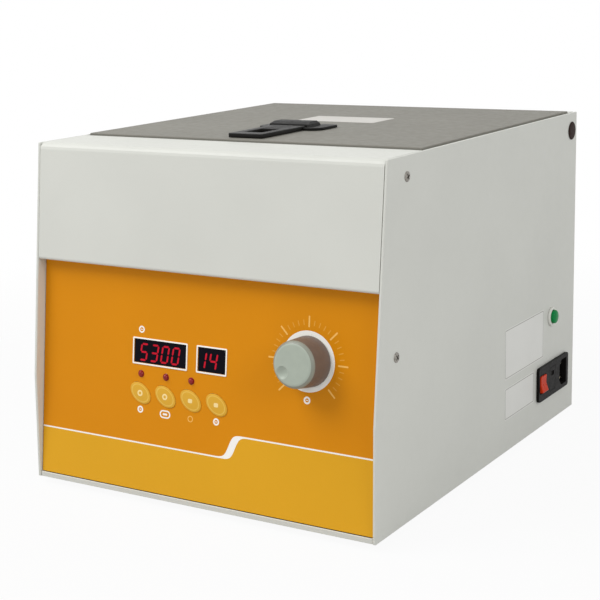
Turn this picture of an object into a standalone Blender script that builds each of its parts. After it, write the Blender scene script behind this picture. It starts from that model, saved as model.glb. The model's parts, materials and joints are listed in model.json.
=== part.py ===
"""A bench-top laboratory centrifuge: a sheet steel case with a leaning control fascia, a hinged lid
with a slide latch, and inside it a rotor bowl, an angle rotor and the motor that turns it.

Metres, +Z up, +Y to the back. The origin is on the bench, under the middle of the whole object.
"""

import math

import bmesh
import bpy
from mathutils import Matrix, Vector

MM = 0.001

# Fits
CLEAR = 0.3 * MM  # between pieces that touch or are cut by each other
LID_GAP = 2.0 * MM  # from the lid to the cowl in front of it
LID_SIDE_GAP = 1.5 * MM  # from the lid to the side panels

# Case
CASE_WIDTH = 331 * MM
CASE_DEPTH = 401 * MM
CASE_HEIGHT = 285 * MM
SIDE_SHEET = 2.5 * MM
SHEET = 1.5 * MM
EDGE_ROUND = 0.7 * MM
FRONT_LEAN = math.radians(7.0)
NOSE_HEIGHT = 89.4 * MM
NOSE_SETBACK = 3.3 * MM
FOOT_HEIGHT = 6 * MM
FOOT_RADIUS = 14 * MM
FOOT_CHAMFER = 2 * MM
FOOT_INSET = 46 * MM
BASE_FLANGE = 14 * MM
BASE_NOTCH = 14 * MM
LIP_HEIGHT = 4.6 * MM
LIP_SETBACK = 1.0 * MM
BASE_SLOTS = 7
BASE_SLOT_LENGTH = 90 * MM
BASE_SLOT_WIDTH = 5 * MM
BASE_SLOT_PITCH = 14 * MM

# Front cowl and rear panel
COWL_DROP = 96.7 * MM
COWL_TOP_DEPTH = 60.5 * MM
COWL_FRONT_RADIUS = 6 * MM
BEND_RADIUS = 2.2 * MM
COWL_FOOT = 14 * MM
REAR_FLANGE = 5 * MM
VENT_ROWS = 8
VENT_COLUMNS = 2
VENT_LENGTH = 84 * MM
VENT_WIDTH = 4 * MM
VENT_PITCH = 9 * MM
VENT_COLUMN_PITCH = 110 * MM
VENT_LOW = 40 * MM

# Fascia, in its own plane: X across, Y up the slope from its lower edge, Z out
FASCIA_SETBACK = 9.5 * MM
FASCIA_LENGTH = 200 * MM
OVERLAY_LENGTH = 190 * MM
OVERLAY_SHEET = 0.8 * MM
KEY_PITCH = 25.2 * MM
KEY_FIRST_X = -58.5 * MM
KEY_Y = 81.4 * MM
KEY_LONG = 11.15 * MM
KEY_SHORT = 7.55 * MM
KEY_TURN = math.radians(-32)
KEY_CROWN = 1.1 * MM
KEY_EDGE = 0.4 * MM
KEY_TRAVEL = 0.5 * MM
KEY_NAMES = ("start_key", "stop_key", "down_key", "up_key")
LED_COUNT = 3
LED_Y = 97.5 * MM
LED_RADIUS = 2.5 * MM
LED_RISE = 2.4 * MM
DISPLAY_Y = 116.2 * MM
DISPLAY_HEIGHT = 19.0 * MM
SPEED_DISPLAY_X = -40.0 * MM
SPEED_DISPLAY_WIDTH = 51.7 * MM
TIME_DISPLAY_X = 11.0 * MM
TIME_DISPLAY_WIDTH = 26.2 * MM
DISPLAY_RECESS = 0.4 * MM
BOARD_DEPTH = 10 * MM
BOARD_SHEET = 1.6 * MM
BOARD_X = (-75 * MM, 37 * MM)
BOARD_Y = (67 * MM, 135 * MM)
STUD_RADIUS = 2.5 * MM
STUD_INSET = 4.5 * MM
SWITCH_SIZE = 6 * MM
SWITCH_BODY = 3.4 * MM
SWITCH_TIP = 0.8 * MM
SWITCH_PLUNGER_RADIUS = 1.75 * MM
KNOB_X = 100.2 * MM
KNOB_Y = 126.3 * MM
KNOB_HEIGHT = 23.65 * MM
KNOB_BASE_RADIUS = 19.8 * MM
KNOB_FACE_RADIUS = 18.4 * MM
KNOB_ROUND = 2.6 * MM
KNOB_LIFT = 0.8 * MM
KNOB_ROOF = 3.9 * MM  # over the end of the shaft
KNOB_POCKET = 9.3 * MM  # radius of the hollow over the potentiometer's nut
DIMPLE_RADIUS = 7.5 * MM
DIMPLE_DEPTH = 2.0 * MM
DIMPLE_REACH = 11.0 * MM
DIMPLE_ANGLE = math.radians(218)
SHAFT_RADIUS = 3 * MM
BUSH_RADIUS = 4.5 * MM
POT_RADIUS = 12 * MM
POT_DEPTH = 14 * MM
POT_NUT_RADIUS = 6.5 * MM
POT_NUT_HEIGHT = 2.4 * MM

# Right side panel, Y from the case's back edge and Z from its floor
INLET_BACK = 55.7 * MM
INLET_Z = 42.4 * MM
INLET_LENGTH = 72 * MM
INLET_HEIGHT = 32.5 * MM
INLET_FLANGE = 2.6 * MM
INLET_LIP = 2 * MM
INLET_DEPTH = 32 * MM
INLET_CORNER = 3 * MM
SOCKET_X = 22.5 * MM
SOCKET_WIDTH = 17 * MM
SOCKET_HEIGHT = 24.6 * MM
SOCKET_CHAMFER = 5 * MM
SOCKET_DEPTH = 16 * MM
PIN_SPREAD = 7 * MM
PIN_OFFSET = 2 * MM
PIN_WIDTH = 4 * MM
PIN_THICK = 2 * MM
PIN_LENGTH = 12 * MM
PIN_ROUND = 0.4 * MM
ROCKER_X = -26.5 * MM
ROCKER_WIDTH = 13.4 * MM
ROCKER_HEIGHT = 15.4 * MM
ROCKER_TILT = math.radians(8)
ROCKER_RISE = 2.2 * MM
ROCKER_VALLEY = 0.7 * MM
ROCKER_DEPTH = 5 * MM
ROCKER_ROOM = 1.0 * MM
DRAWER_X = -3.5 * MM
DRAWER_WIDTH = 13 * MM
DRAWER_HEIGHT = 22 * MM
DRAWER_LENGTH = 24 * MM
DRAWER_GRIP = 4 * MM
DRAWER_GRIP_DEPTH = 1.2 * MM
RESET_BACK = 57.2 * MM
RESET_Z = 101 * MM
RESET_RADIUS = 6.2 * MM
RESET_RISE = 6.4 * MM
RESET_TRAVEL = 1.5 * MM
RESET_WALL = 0.8 * MM
RESET_STEM = 2.5 * MM
RESET_BEZEL_RADIUS = 8.7 * MM
RESET_BEZEL = 2.2 * MM
RESET_NECK_RADIUS = 5 * MM
RESET_BODY_RADIUS = 11 * MM
RESET_BODY = 30 * MM

# Lid, its hinge and its latch
LID_RISE = 1.5 * MM
LID_SHEET = 2.0 * MM
LID_SKIRT = 20 * MM
LID_ROUND = 0.8 * MM
LINER_SHEET = 1.4 * MM
LINER_CORNER = 5 * MM
LINER_REAR_GAP = 48 * MM
LID_SWING_GAP = 0.5 * MM  # from the opening lid to the top of the rear panel
HINGE_BACK = 13.2 * MM
HINGE_DROP = 16.4 * MM
HINGE_PIN_RADIUS = 4 * MM
HINGE_COLLAR_RADIUS = 7 * MM
HINGE_COLLAR = 2.7 * MM
HINGE_CAP_RADIUS = 8.3 * MM
HINGE_CAP = 0.9 * MM
HINGE_CAP_EDGE = 0.25 * MM
HINGE_ARM_RADIUS = 9 * MM
HINGE_ARM_SHEET = 3 * MM
HINGE_ARM_REACH = 45 * MM
HINGE_EAR_START = math.radians(30)
HINGE_EAR_SWEEP = math.radians(190)
SKIRT_TRIM = 12 * MM
NOTCH_DROP = 12 * MM
LATCH_X = -5.6 * MM
LATCH_FRONT = 9.0 * MM
LATCH_WIDTH = 33 * MM
LATCH_LENGTH = 86 * MM
LATCH_THICK = 3.5 * MM
LATCH_CORNER = 1.5 * MM
LATCH_TRAVEL = 12 * MM
WINDOW_FRONT = 12.5 * MM
WINDOW_WIDTH = 17.5 * MM
WINDOW_LENGTH = 27.5 * MM
BRIDGE_FRONT = 68 * MM
BRIDGE_WIDTH = 63 * MM
BRIDGE_LENGTH = 30 * MM
BRIDGE_SHEET = 2.2 * MM
BLOCK_WIDTH = 45 * MM
BLOCK_LENGTH = 15 * MM
BLOCK_RISE = 4.0 * MM
BLOCK_SLOPE = 3 * MM
BOLT_WIDTH = 22 * MM
BOLT_SHEET = 2 * MM
STEM_RADIUS = 3 * MM
STEM_SEAT = 1.8 * MM
STEM_FRONT = 54.5 * MM

# Bowl, rotor and drive
DECK_DROP = 27 * MM
BOWL_RADIUS = 110 * MM
BOWL_DEPTH = 118 * MM
BOWL_SHEET = 1.5 * MM
BOWL_CORNER = 18 * MM
BOWL_FLANGE = 11 * MM
BOWL_HOLE_RADIUS = 22 * MM
GASKET_WIDTH = 6 * MM
GASKET_INSET = 3 * MM
ROTOR_LIFT = 5.5 * MM
ROTOR_HEIGHT = 79 * MM
ROTOR_RADIUS = 97 * MM
ROTOR_RIM_RADIUS = 78 * MM
ROTOR_RIM = 5 * MM
ROTOR_FOOT = 8 * MM
ROTOR_DISH_RADIUS = 24 * MM
ROTOR_DISH = 27 * MM
TUBE_COUNT = 6
TUBE_RADIUS = 14.6 * MM
TUBE_TILT = math.radians(28)
TUBE_DEPTH = 57 * MM
TUBE_MOUTH_RADIUS = 50 * MM
NUT_RADIUS = 14 * MM
NUT_HEIGHT = 20 * MM
NUT_CHAMFER = 3 * MM
SPINDLE_RADIUS = 6 * MM
SPINDLE_COLLAR_RADIUS = 11 * MM
SPINDLE_COLLAR = 2.5 * MM
SPINDLE_STUD = 12 * MM
SPINDLE_DEPTH = 40 * MM
BOOT_HEIGHT = 15 * MM
BOOT_BORE = 8 * MM
BOOT_FLANGE_RADIUS = 27 * MM
BOOT_FLANGE = 1.5 * MM
BOOT_WAIST = 4 * MM
MOTOR_RADIUS = 55 * MM
MOTOR_BOSS_RADIUS = 22 * MM
MOTOR_BOSS = 8 * MM
MOTOR_SHOULDER = 10 * MM
PLATE_SIZE = 170 * MM
PLATE_SHEET = 3 * MM
PLATE_CORNER = 12 * MM
BUFFER_HEIGHT = 18 * MM
BUFFER_RADIUS = 12 * MM
BUFFER_WAIST = 3 * MM
BUFFER_SPREAD = 65 * MM
DRIVE_BOARD_SIZE = (90 * MM, 56 * MM)
DRIVE_BOARD_SIDE = 25.5 * MM
DRIVE_BOARD_FRONT = 62 * MM
DRIVE_BOARD_LEG = 8 * MM

FRAME_MARK = 20 * MM  # drawn size of the empties

# Facets
ARC_STEPS = 4
DOME_STEPS = 3
FINE_STEPS = 48
ROUND_STEPS = 24
SMALL_STEPS = 16

# Case edges and planes worked out from the sizes above
FLOOR_Z = FOOT_HEIGHT
TOP_Z = FLOOR_Z + CASE_HEIGHT
TOP_SETBACK = NOSE_SETBACK + (CASE_HEIGHT - NOSE_HEIGHT) * math.tan(FRONT_LEAN)
FASCIA_BEHIND = (
    TOP_SETBACK
    - (CASE_HEIGHT - LIP_HEIGHT) * math.tan(FRONT_LEAN)
    + FASCIA_SETBACK / math.cos(FRONT_LEAN)
)
KNOB_LOW = KNOB_Y - KNOB_FACE_RADIUS + KNOB_ROUND
KNOB_REACH = KNOB_HEIGHT * math.cos(FRONT_LEAN) - KNOB_LOW * math.sin(FRONT_LEAN)
KNOB_OVERHANG = max(0, KNOB_REACH - FASCIA_BEHIND)  # how far the knob stands out past the front foot
BACK_Y = (CASE_DEPTH + KNOB_OVERHANG) / 2
FRONT_Y = BACK_Y - CASE_DEPTH
NOSE_Y = FRONT_Y + NOSE_SETBACK
TOP_FRONT_Y = FRONT_Y + TOP_SETBACK
SIDE_X = CASE_WIDTH / 2
INNER_X = SIDE_X - SIDE_SHEET
PANEL_X = INNER_X - CLEAR
COWL_REAR_Y = TOP_FRONT_Y + COWL_TOP_DEPTH
FASCIA_Z = FLOOR_Z + LIP_HEIGHT
FASCIA_Y = FRONT_Y + FASCIA_BEHIND
FASCIA_BACK = OVERLAY_SHEET + CLEAR + SHEET  # depth of the steel fascia's rear face
DECK_TOP = TOP_Z - DECK_DROP
BASE_TOP = FLOOR_Z + SHEET
LID_TOP = TOP_Z + LID_RISE
LID_UNDER = LID_TOP - LID_SHEET
LID_X = INNER_X - LID_SIDE_GAP
LID_FRONT_Y = COWL_REAR_Y + LID_GAP
SKIRT_Z = LID_TOP - LID_SKIRT
LINER_TOP = SKIRT_Z - CLEAR
LINER_UNDER = LINER_TOP - LINER_SHEET
HINGE_Y = BACK_Y - HINGE_BACK
HINGE_Z = TOP_Z - HINGE_DROP
STRIP_UNDER = TOP_Z - SHEET  # underside of the strip behind the lid, the lid's nearest face to the axis
SWING_RADIUS = STRIP_UNDER - HINGE_Z - LID_SWING_GAP
REAR_TOP = HINGE_Z + math.sqrt(max(0, SWING_RADIUS**2 - HINGE_BACK**2))
LINER_REAR_Y = HINGE_Y - LINER_REAR_GAP
ARM_X = LID_X - LID_SHEET - CLEAR  # outer face of each hinge arm
BOLT_ROOM = 2 * CLEAR  # around the bolt in the lid's skirt and in the cowl
BOLT_TOP = TOP_Z - SHEET - BOLT_ROOM  # the bolt runs in under the cowl's top
INLET_FACE = CLEAR + INLET_FLANGE
INLET_BODY = (INLET_LENGTH - 2 * INLET_LIP, INLET_HEIGHT - 2 * INLET_LIP)
SWITCH_TOP = BOARD_DEPTH - SWITCH_BODY - SWITCH_TIP  # depth of each switch plunger's tip
LATCH_Y = LID_FRONT_Y + LATCH_FRONT
BOWL_Y = (LID_FRONT_Y + LINER_REAR_Y) / 2
BOWL_FLOOR = DECK_TOP - BOWL_DEPTH
BOWL_BORE = BOWL_RADIUS + BOWL_SHEET
MOTOR_TOP = BOWL_FLOOR - BOOT_HEIGHT
PLATE_TOP = BASE_TOP + CLEAR + BUFFER_HEIGHT + CLEAR + PLATE_SHEET
ROTOR_Z = BOWL_FLOOR + ROTOR_LIFT
ROTOR_SEAT = ROTOR_Z + ROTOR_HEIGHT - ROTOR_DISH  # where the nut bears, in the middle of the dish

# Finishes: colour, roughness, metallic
FINISHES = {
    "case_paint": ((0.62, 0.63, 0.60), 0.45, 0.0),
    "lid_paint": ((0.30, 0.30, 0.27), 0.5, 0.0),
    "overlay_print": ((0.65, 0.24, 0.01), 0.4, 0.0),
    "sheet_steel": ((0.55, 0.55, 0.56), 0.4, 0.9),
    "spun_steel": ((0.62, 0.62, 0.63), 0.3, 1.0),
    "cast_aluminium": ((0.52, 0.53, 0.55), 0.4, 0.9),
    "turned_steel": ((0.50, 0.50, 0.52), 0.25, 1.0),
    "motor_paint": ((0.05, 0.06, 0.07), 0.55, 0.0),
    "black_rubber": ((0.02, 0.02, 0.02), 0.8, 0.0),
    "black_plastic": ((0.015, 0.015, 0.016), 0.45, 0.0),
    "knob_plastic": ((0.42, 0.46, 0.41), 0.45, 0.0),
    "key_film": ((0.75, 0.42, 0.05), 0.4, 0.0),
    "led_lens": ((0.35, 0.01, 0.02), 0.15, 0.0),
    "display_glass": ((0.01, 0.01, 0.015), 0.1, 0.0),
    "circuit_board": ((0.02, 0.16, 0.06), 0.5, 0.0),
    "rocker_red": ((0.55, 0.04, 0.02), 0.35, 0.0),
    "reset_green": ((0.01, 0.30, 0.10), 0.35, 0.0),
    "bezel_plastic": ((0.70, 0.70, 0.66), 0.45, 0.0),
    "pin_brass": ((0.72, 0.66, 0.48), 0.3, 1.0),
}


def clear_scene():
    for old in list(bpy.data.objects):
        bpy.data.objects.remove(old, do_unlink=True)


def new_collection(name):
    made = bpy.data.collections.new(name)
    bpy.context.scene.collection.children.link(made)
    return made


def finish(name):
    """The material of that name, made the first time it is asked for."""
    if name in bpy.data.materials:
        return bpy.data.materials[name]
    colour, roughness, metallic = FINISHES[name]
    made = bpy.data.materials.new(name)
    made.use_nodes = True
    shader = made.node_tree.nodes["Principled BSDF"]
    shader.inputs["Base Color"].default_value = (*colour, 1)
    shader.inputs["Roughness"].default_value = roughness
    shader.inputs["Metallic"].default_value = metallic
    made.diffuse_color = (*colour, 1)
    return made


clear_scene()
PARTS = new_collection("bench_centrifuge")
CUTTERS = new_collection("cutters")


def add_object(name, mesh, look, frame):
    """Links a mesh as a part with a finish or, where look is None, as a cutter."""
    made = bpy.data.objects.new(name, mesh)
    made.parent = frame
    if look is None:
        CUTTERS.objects.link(made)
        made.hide_render = True
        made.display_type = "WIRE"
    else:
        PARTS.objects.link(made)
        mesh.materials.append(finish(look))
    return made


def add_frame(name, location, rotation=(0, 0, 0), parent=None):
    """An empty that carries pieces, such as a panel's plane or a joint's axis."""
    made = bpy.data.objects.new(name, None)
    made.empty_display_size = FRAME_MARK
    made.location = location
    made.rotation_euler = rotation
    made.parent = parent
    PARTS.objects.link(made)
    return made


# Outlines


def circle(x, y, radius, steps=SMALL_STEPS):
    angles = [2 * math.pi * i / steps for i in range(steps)]
    return [(x + radius * math.cos(a), y + radius * math.sin(a)) for a in angles]


def oval(x, y, long, short, turn, steps=SMALL_STEPS):
    """An ellipse given by its half axes, with the long one turned away from X."""
    about = Matrix.Translation((x, y, 0)) @ Matrix.Rotation(turn, 4, "Z")
    points = [about @ Vector((long * u, short * v, 0)) for u, v in circle(0, 0, 1, steps)]
    return [(point.x, point.y) for point in points]


def rectangle(x, y, width, height):
    return [
        (x - width / 2, y - height / 2),
        (x + width / 2, y - height / 2),
        (x + width / 2, y + height / 2),
        (x - width / 2, y + height / 2),
    ]


def arc_corner(before, corner, after, radius):
    """Points of the arc that rounds one corner of a path."""
    corner = Vector(corner)
    back = (Vector(before) - corner).normalized()
    ahead = (Vector(after) - corner).normalized()
    half = back.angle(ahead) / 2
    centre = corner + (back + ahead).normalized() * radius / math.sin(half)
    start = corner + back * radius / math.tan(half) - centre
    end = corner + ahead * radius / math.tan(half) - centre
    first = math.atan2(start.y, start.x)
    sweep = math.remainder(math.atan2(end.y, end.x) - first, 2 * math.pi)
    angles = [first + sweep * i / ARC_STEPS for i in range(ARC_STEPS + 1)]
    return [centre + radius * Vector((math.cos(a), math.sin(a))) for a in angles]


def rounded_path(points, radii):
    """An open path whose inner corners are arcs."""
    path = [Vector(points[0])]
    for before, corner, after, radius in zip(points, points[1:], points[2:], radii):
        path += arc_corner(before, corner, after, radius)
    return path + [Vector(points[-1])]


def rounded_outline(points, radius):
    """A closed outline whose corners are arcs."""
    ahead = points[1:] + points[:1]
    behind = points[-1:] + points[:-1]
    outline = []
    for before, corner, after in zip(behind, points, ahead):
        outline += arc_corner(before, corner, after, radius)
    return outline


# Solids


def box(name, low, high, look=None, frame=None):
    size = [b - a for a, b in zip(low, high)]
    middle = [(a + b) / 2 for a, b in zip(low, high)]
    mesh = bpy.data.meshes.new(name)
    bm = bmesh.new()
    bmesh.ops.create_cube(bm, matrix=Matrix.Translation(middle) @ Matrix.Diagonal((*size, 1)))
    bm.to_mesh(mesh)
    bm.free()
    return add_object(name, mesh, look, frame)


def boxes(name, corners, frame=None):
    """One cutter made of several boxes, each given as its low and high corners."""
    mesh = bpy.data.meshes.new(name)
    bm = bmesh.new()
    for low, high in corners:
        size = [b - a for a, b in zip(low, high)]
        middle = [(a + b) / 2 for a, b in zip(low, high)]
        bmesh.ops.create_cube(bm, matrix=Matrix.Translation(middle) @ Matrix.Diagonal((*size, 1)))
    bm.to_mesh(mesh)
    bm.free()
    return add_object(name, mesh, None, frame)


def cylinders(name, places, radius, steps=SMALL_STEPS, frame=None):
    """One cutter made of several cylinders, each given as the matrix of its middle and its length."""
    mesh = bpy.data.meshes.new(name)
    bm = bmesh.new()
    for matrix, length in places:
        bmesh.ops.create_cone(
            bm,
            cap_ends=True,
            segments=steps,
            radius1=radius,
            radius2=radius,
            depth=length,
            matrix=matrix,
        )
    bm.to_mesh(mesh)
    bm.free()
    return add_object(name, mesh, None, frame)


def plate(name, loops, low, high, look=None, frame=None):
    """A flat plate between two heights: the first loop is its outline and the others are holes."""
    curve = bpy.data.curves.new(name, "CURVE")
    curve.dimensions = "2D"
    curve.fill_mode = "BOTH"
    curve.extrude = (high - low) / 2
    for loop in loops:
        spline = curve.splines.new("POLY")
        spline.points.add(len(loop) - 1)
        spline.use_cyclic_u = True
        for point, place in zip(spline.points, loop):
            point.co = (place[0], place[1], 0, 1)
    guide = bpy.data.objects.new(name + "_outline", curve)
    CUTTERS.objects.link(guide)
    graph = bpy.context.evaluated_depsgraph_get()
    mesh = bpy.data.meshes.new_from_object(guide.evaluated_get(graph))
    bpy.data.objects.remove(guide)
    mesh.name = name
    bm = bmesh.new()
    bm.from_mesh(mesh)
    bmesh.ops.remove_doubles(bm, verts=bm.verts, dist=0.001 * MM)
    bmesh.ops.translate(bm, verts=bm.verts, vec=(0, 0, (low + high) / 2))
    bmesh.ops.recalc_face_normals(bm, faces=bm.faces)
    bm.to_mesh(mesh)
    bm.free()
    return add_object(name, mesh, look, frame)


def turned(name, profile, look=None, frame=None, steps=ROUND_STEPS, closed=False):
    """A solid turned about Z from (radius, height) points that run down its outer side."""
    mesh = bpy.data.meshes.new(name)
    count = len(profile)
    links = [(i, i + 1) for i in range(count - 1)]
    if closed:
        links.append((count - 1, 0))
    mesh.from_pydata([(radius, 0, height) for radius, height in profile], links, [])
    made = add_object(name, mesh, look, frame)
    screw = made.modifiers.new("turn", "SCREW")
    screw.axis = "Z"
    screw.steps = steps
    screw.render_steps = steps
    screw.use_merge_vertices = True
    screw.merge_threshold = 0.01 * MM
    screw.use_smooth_shade = True
    return made


def folded_sheet(name, path, half_width, thickness, look):
    """A sheet bent along a (y, z) path, with its thickness on the right of the way the path runs."""
    mesh = bpy.data.meshes.new(name)
    links = [(i, i + 1) for i in range(len(path) - 1)]
    mesh.from_pydata([(-half_width, y, z) for y, z in path], links, [])
    made = add_object(name, mesh, look, None)
    sweep = made.modifiers.new("sweep", "SCREW")
    sweep.axis = "X"
    sweep.angle = 0
    sweep.screw_offset = 2 * half_width
    sweep.steps = 1
    sweep.render_steps = 1
    sweep.use_smooth_shade = False
    sweep.use_normal_flip = True
    thicken(made, thickness)
    return made


def thicken(part, thickness):
    """Gives an open surface its thickness, on the side away from its normals."""
    solidify = part.modifiers.new("sheet", "SOLIDIFY")
    solidify.thickness = thickness
    solidify.offset = -1
    solidify.use_even_offset = True


def round_edges(part, width, segments=2):
    bevel = part.modifiers.new("edges", "BEVEL")
    bevel.width = width
    bevel.segments = segments
    bevel.limit_method = "ANGLE"
    bevel.angle_limit = math.radians(40)


def combine(part, other, operation="DIFFERENCE"):
    step = part.modifiers.new(other.name, "BOOLEAN")
    step.object = other
    step.operation = operation


def fascia_point(up, out):
    """World (y, z) of a point at a height up the fascia and a distance out of its face."""
    y = FASCIA_Y + up * math.sin(FRONT_LEAN) - out * math.cos(FRONT_LEAN)
    z = FASCIA_Z + up * math.cos(FRONT_LEAN) + out * math.sin(FRONT_LEAN)
    return y, z


# Frames that carry the pieces of a panel, and the axes that pieces turn about

FASCIA = add_frame("fascia_plane", (0, FASCIA_Y, FASCIA_Z), (math.pi / 2 - FRONT_LEAN, 0, 0))
SIDE_TURN = Matrix(((0, 0, 1), (1, 0, 0), (0, 1, 0))).to_euler()
RIGHT_SIDE = add_frame("right_side_plane", (SIDE_X, BACK_Y, FLOOR_Z), SIDE_TURN)
INLET = add_frame("inlet_centre", (-INLET_BACK, INLET_Z, 0), parent=RIGHT_SIDE)
RESET = add_frame("reset_axis", (-RESET_BACK, RESET_Z, 0), parent=RIGHT_SIDE)
KNOB_AXIS = add_frame("knob_axis", (KNOB_X, KNOB_Y, 0), parent=FASCIA)
LID_AXIS = add_frame("lid_axis", (0, HINGE_Y, HINGE_Z))
ROTOR_AXIS = add_frame("rotor_axis", (0, BOWL_Y, 0))


# Case


def make_base():
    low = (-PANEL_X, FRONT_Y + LIP_SETBACK, FLOOR_Z)
    high = (PANEL_X, BACK_Y - SHEET - CLEAR, FLOOR_Z + BASE_FLANGE)
    base = box("base_plate", low, high, "case_paint")
    bm = bmesh.new()
    bm.from_mesh(base.data)
    open_top = [face for face in bm.faces if face.normal.z > 0.5]
    bmesh.ops.delete(bm, geom=open_top, context="FACES_ONLY")
    bm.to_mesh(base.data)
    bm.free()
    thicken(base, SHEET)
    front = boxes(
        "base_front_cut",
        [
            (
                (-SIDE_X, FRONT_Y - BASE_NOTCH, FASCIA_Z - CLEAR),
                (SIDE_X, FRONT_Y + BASE_NOTCH, FLOOR_Z + 2 * BASE_FLANGE),
            )
        ],
    )
    combine(base, front)
    middle = (BASE_SLOTS - 1) / 2
    slots = []
    for i in range(BASE_SLOTS):
        y = BOWL_Y + (i - middle) * BASE_SLOT_PITCH
        half = BASE_SLOT_WIDTH / 2
        reach = BASE_SLOT_LENGTH / 2
        slots.append(((-reach, y - half, FLOOR_Z - SHEET), (reach, y + half, BASE_TOP + SHEET)))
    combine(base, boxes("base_slots", slots))


def make_feet():
    profile = [
        (0, FOOT_HEIGHT - CLEAR),
        (FOOT_RADIUS, FOOT_HEIGHT - CLEAR),
        (FOOT_RADIUS, FOOT_CHAMFER),
        (FOOT_RADIUS - FOOT_CHAMFER, 0),
        (0, 0),
    ]
    rows = {"front": FRONT_Y + FOOT_INSET, "rear": BACK_Y - FOOT_INSET}
    columns = {"left": -SIDE_X + FOOT_INSET, "right": SIDE_X - FOOT_INSET}
    for row, y in rows.items():
        for column, x in columns.items():
            foot = turned(f"foot_{row}_{column}", profile, "black_rubber", steps=SMALL_STEPS)
            foot.location = (x, y, 0)


def make_side_panel(side, holes):
    """One side panel, drawn in the plane of its outer face and laid on either side of the case."""
    outline = [
        (FRONT_Y, FLOOR_Z),
        (BACK_Y, FLOOR_Z),
        (BACK_Y, TOP_Z),
        (TOP_FRONT_Y, TOP_Z),
        (NOSE_Y, FLOOR_Z + NOSE_HEIGHT),
    ]
    low = INNER_X if side == "right" else -SIDE_X
    panel = plate(f"side_panel_{side}", [outline], low, low + SIDE_SHEET, "case_paint")
    panel.rotation_euler = SIDE_TURN
    round_edges(panel, EDGE_ROUND)
    for cutter in holes:
        combine(panel, cutter)


def make_side_panels():
    reach = 2 * SIDE_SHEET
    hinge_turn = Matrix.Translation((0, HINGE_Y, HINGE_Z)) @ Matrix.Rotation(math.pi / 2, 4, "Y")
    hinge_holes = cylinders(
        "hinge_holes", [(hinge_turn, 2 * CASE_WIDTH)], HINGE_PIN_RADIUS + CLEAR
    )
    inlet_hole = plate(
        "inlet_hole",
        [rectangle(0, 0, INLET_BODY[0] + 2 * CLEAR, INLET_BODY[1] + 2 * CLEAR)],
        -reach,
        reach,
        frame=INLET,
    )
    reset_hole = plate(
        "reset_hole", [circle(0, 0, RESET_NECK_RADIUS + CLEAR)], -reach, reach, frame=RESET
    )
    make_side_panel("left", [hinge_holes])
    make_side_panel("right", [hinge_holes, inlet_hole, reset_hole])


def make_cowl():
    low_z = TOP_Z - COWL_DROP
    low_up = (low_z - FASCIA_Z - FASCIA_SETBACK * math.sin(FRONT_LEAN)) / math.cos(FRONT_LEAN)
    corners = [
        fascia_point(low_up, CLEAR),
        fascia_point(low_up, FASCIA_SETBACK),
        (TOP_FRONT_Y, TOP_Z),
        (COWL_REAR_Y, TOP_Z),
        (COWL_REAR_Y, DECK_TOP + CLEAR),
        (COWL_REAR_Y - COWL_FOOT, DECK_TOP + CLEAR),
    ]
    radii = [BEND_RADIUS, COWL_FRONT_RADIUS, BEND_RADIUS, BEND_RADIUS]
    cowl = folded_sheet("front_cowl", rounded_path(corners, radii), PANEL_X, SHEET, "case_paint")
    half = BOLT_WIDTH / 2 + BOLT_ROOM
    keeper = boxes(
        "latch_keeper_slot",
        [
            (
                (LATCH_X - half, COWL_REAR_Y - 2 * SHEET, BOLT_TOP - BOLT_SHEET - BOLT_ROOM),
                (LATCH_X + half, COWL_REAR_Y + SHEET, BOLT_TOP + BOLT_ROOM),
            )
        ],
    )
    combine(cowl, keeper)


def make_rear_panel():
    corners = [(BACK_Y - REAR_FLANGE, REAR_TOP), (BACK_Y, REAR_TOP), (BACK_Y, FLOOR_Z)]
    panel = folded_sheet(
        "rear_panel", rounded_path(corners, [BEND_RADIUS]), PANEL_X, SHEET, "case_paint"
    )
    inner = ARM_X - HINGE_ARM_SHEET - 2 * CLEAR
    notch_low = HINGE_Z - NOTCH_DROP
    front = BACK_Y - 2 * REAR_FLANGE
    notches = [
        ((inner, front, notch_low), (SIDE_X, BACK_Y + SHEET, TOP_Z)),
        ((-SIDE_X, front, notch_low), (-inner, BACK_Y + SHEET, TOP_Z)),
    ]
    combine(panel, boxes("rear_notches", notches))
    vents = []
    for column in range(VENT_COLUMNS):
        x = (column - (VENT_COLUMNS - 1) / 2) * VENT_COLUMN_PITCH
        for row in range(VENT_ROWS):
            z = FLOOR_Z + VENT_LOW + row * VENT_PITCH
            low = (x - VENT_LENGTH / 2, BACK_Y - 2 * SHEET, z - VENT_WIDTH / 2)
            high = (x + VENT_LENGTH / 2, BACK_Y + SHEET, z + VENT_WIDTH / 2)
            vents.append((low, high))
    combine(panel, boxes("rear_vents", vents))


def make_deck():
    front = COWL_REAR_Y - COWL_FOOT
    rear = BACK_Y - SHEET - CLEAR
    outline = rectangle(0, (front + rear) / 2, 2 * PANEL_X, rear - front)
    opening = circle(0, BOWL_Y, BOWL_BORE + CLEAR, FINE_STEPS)
    plate("top_deck", [outline, opening], DECK_TOP - SHEET, DECK_TOP, "sheet_steel")


# Control fascia


def key_xs(count):
    return [KEY_FIRST_X + i * KEY_PITCH for i in range(count)]


def fascia_openings():
    """Outlines of everything that passes through the fascia, in its own plane."""
    height = DISPLAY_HEIGHT + 2 * CLEAR
    speed = rectangle(SPEED_DISPLAY_X, DISPLAY_Y, SPEED_DISPLAY_WIDTH + 2 * CLEAR, height)
    time = rectangle(TIME_DISPLAY_X, DISPLAY_Y, TIME_DISPLAY_WIDTH + 2 * CLEAR, height)
    key_hole = (KEY_LONG + CLEAR, KEY_SHORT + CLEAR, KEY_TURN)
    keys = [oval(x, KEY_Y, *key_hole) for x in key_xs(len(KEY_NAMES))]
    leds = [circle(x, LED_Y, LED_RADIUS + CLEAR) for x in key_xs(LED_COUNT)]
    return [speed, time, *keys, *leds, circle(KNOB_X, KNOB_Y, BUSH_RADIUS + CLEAR)]


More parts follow.
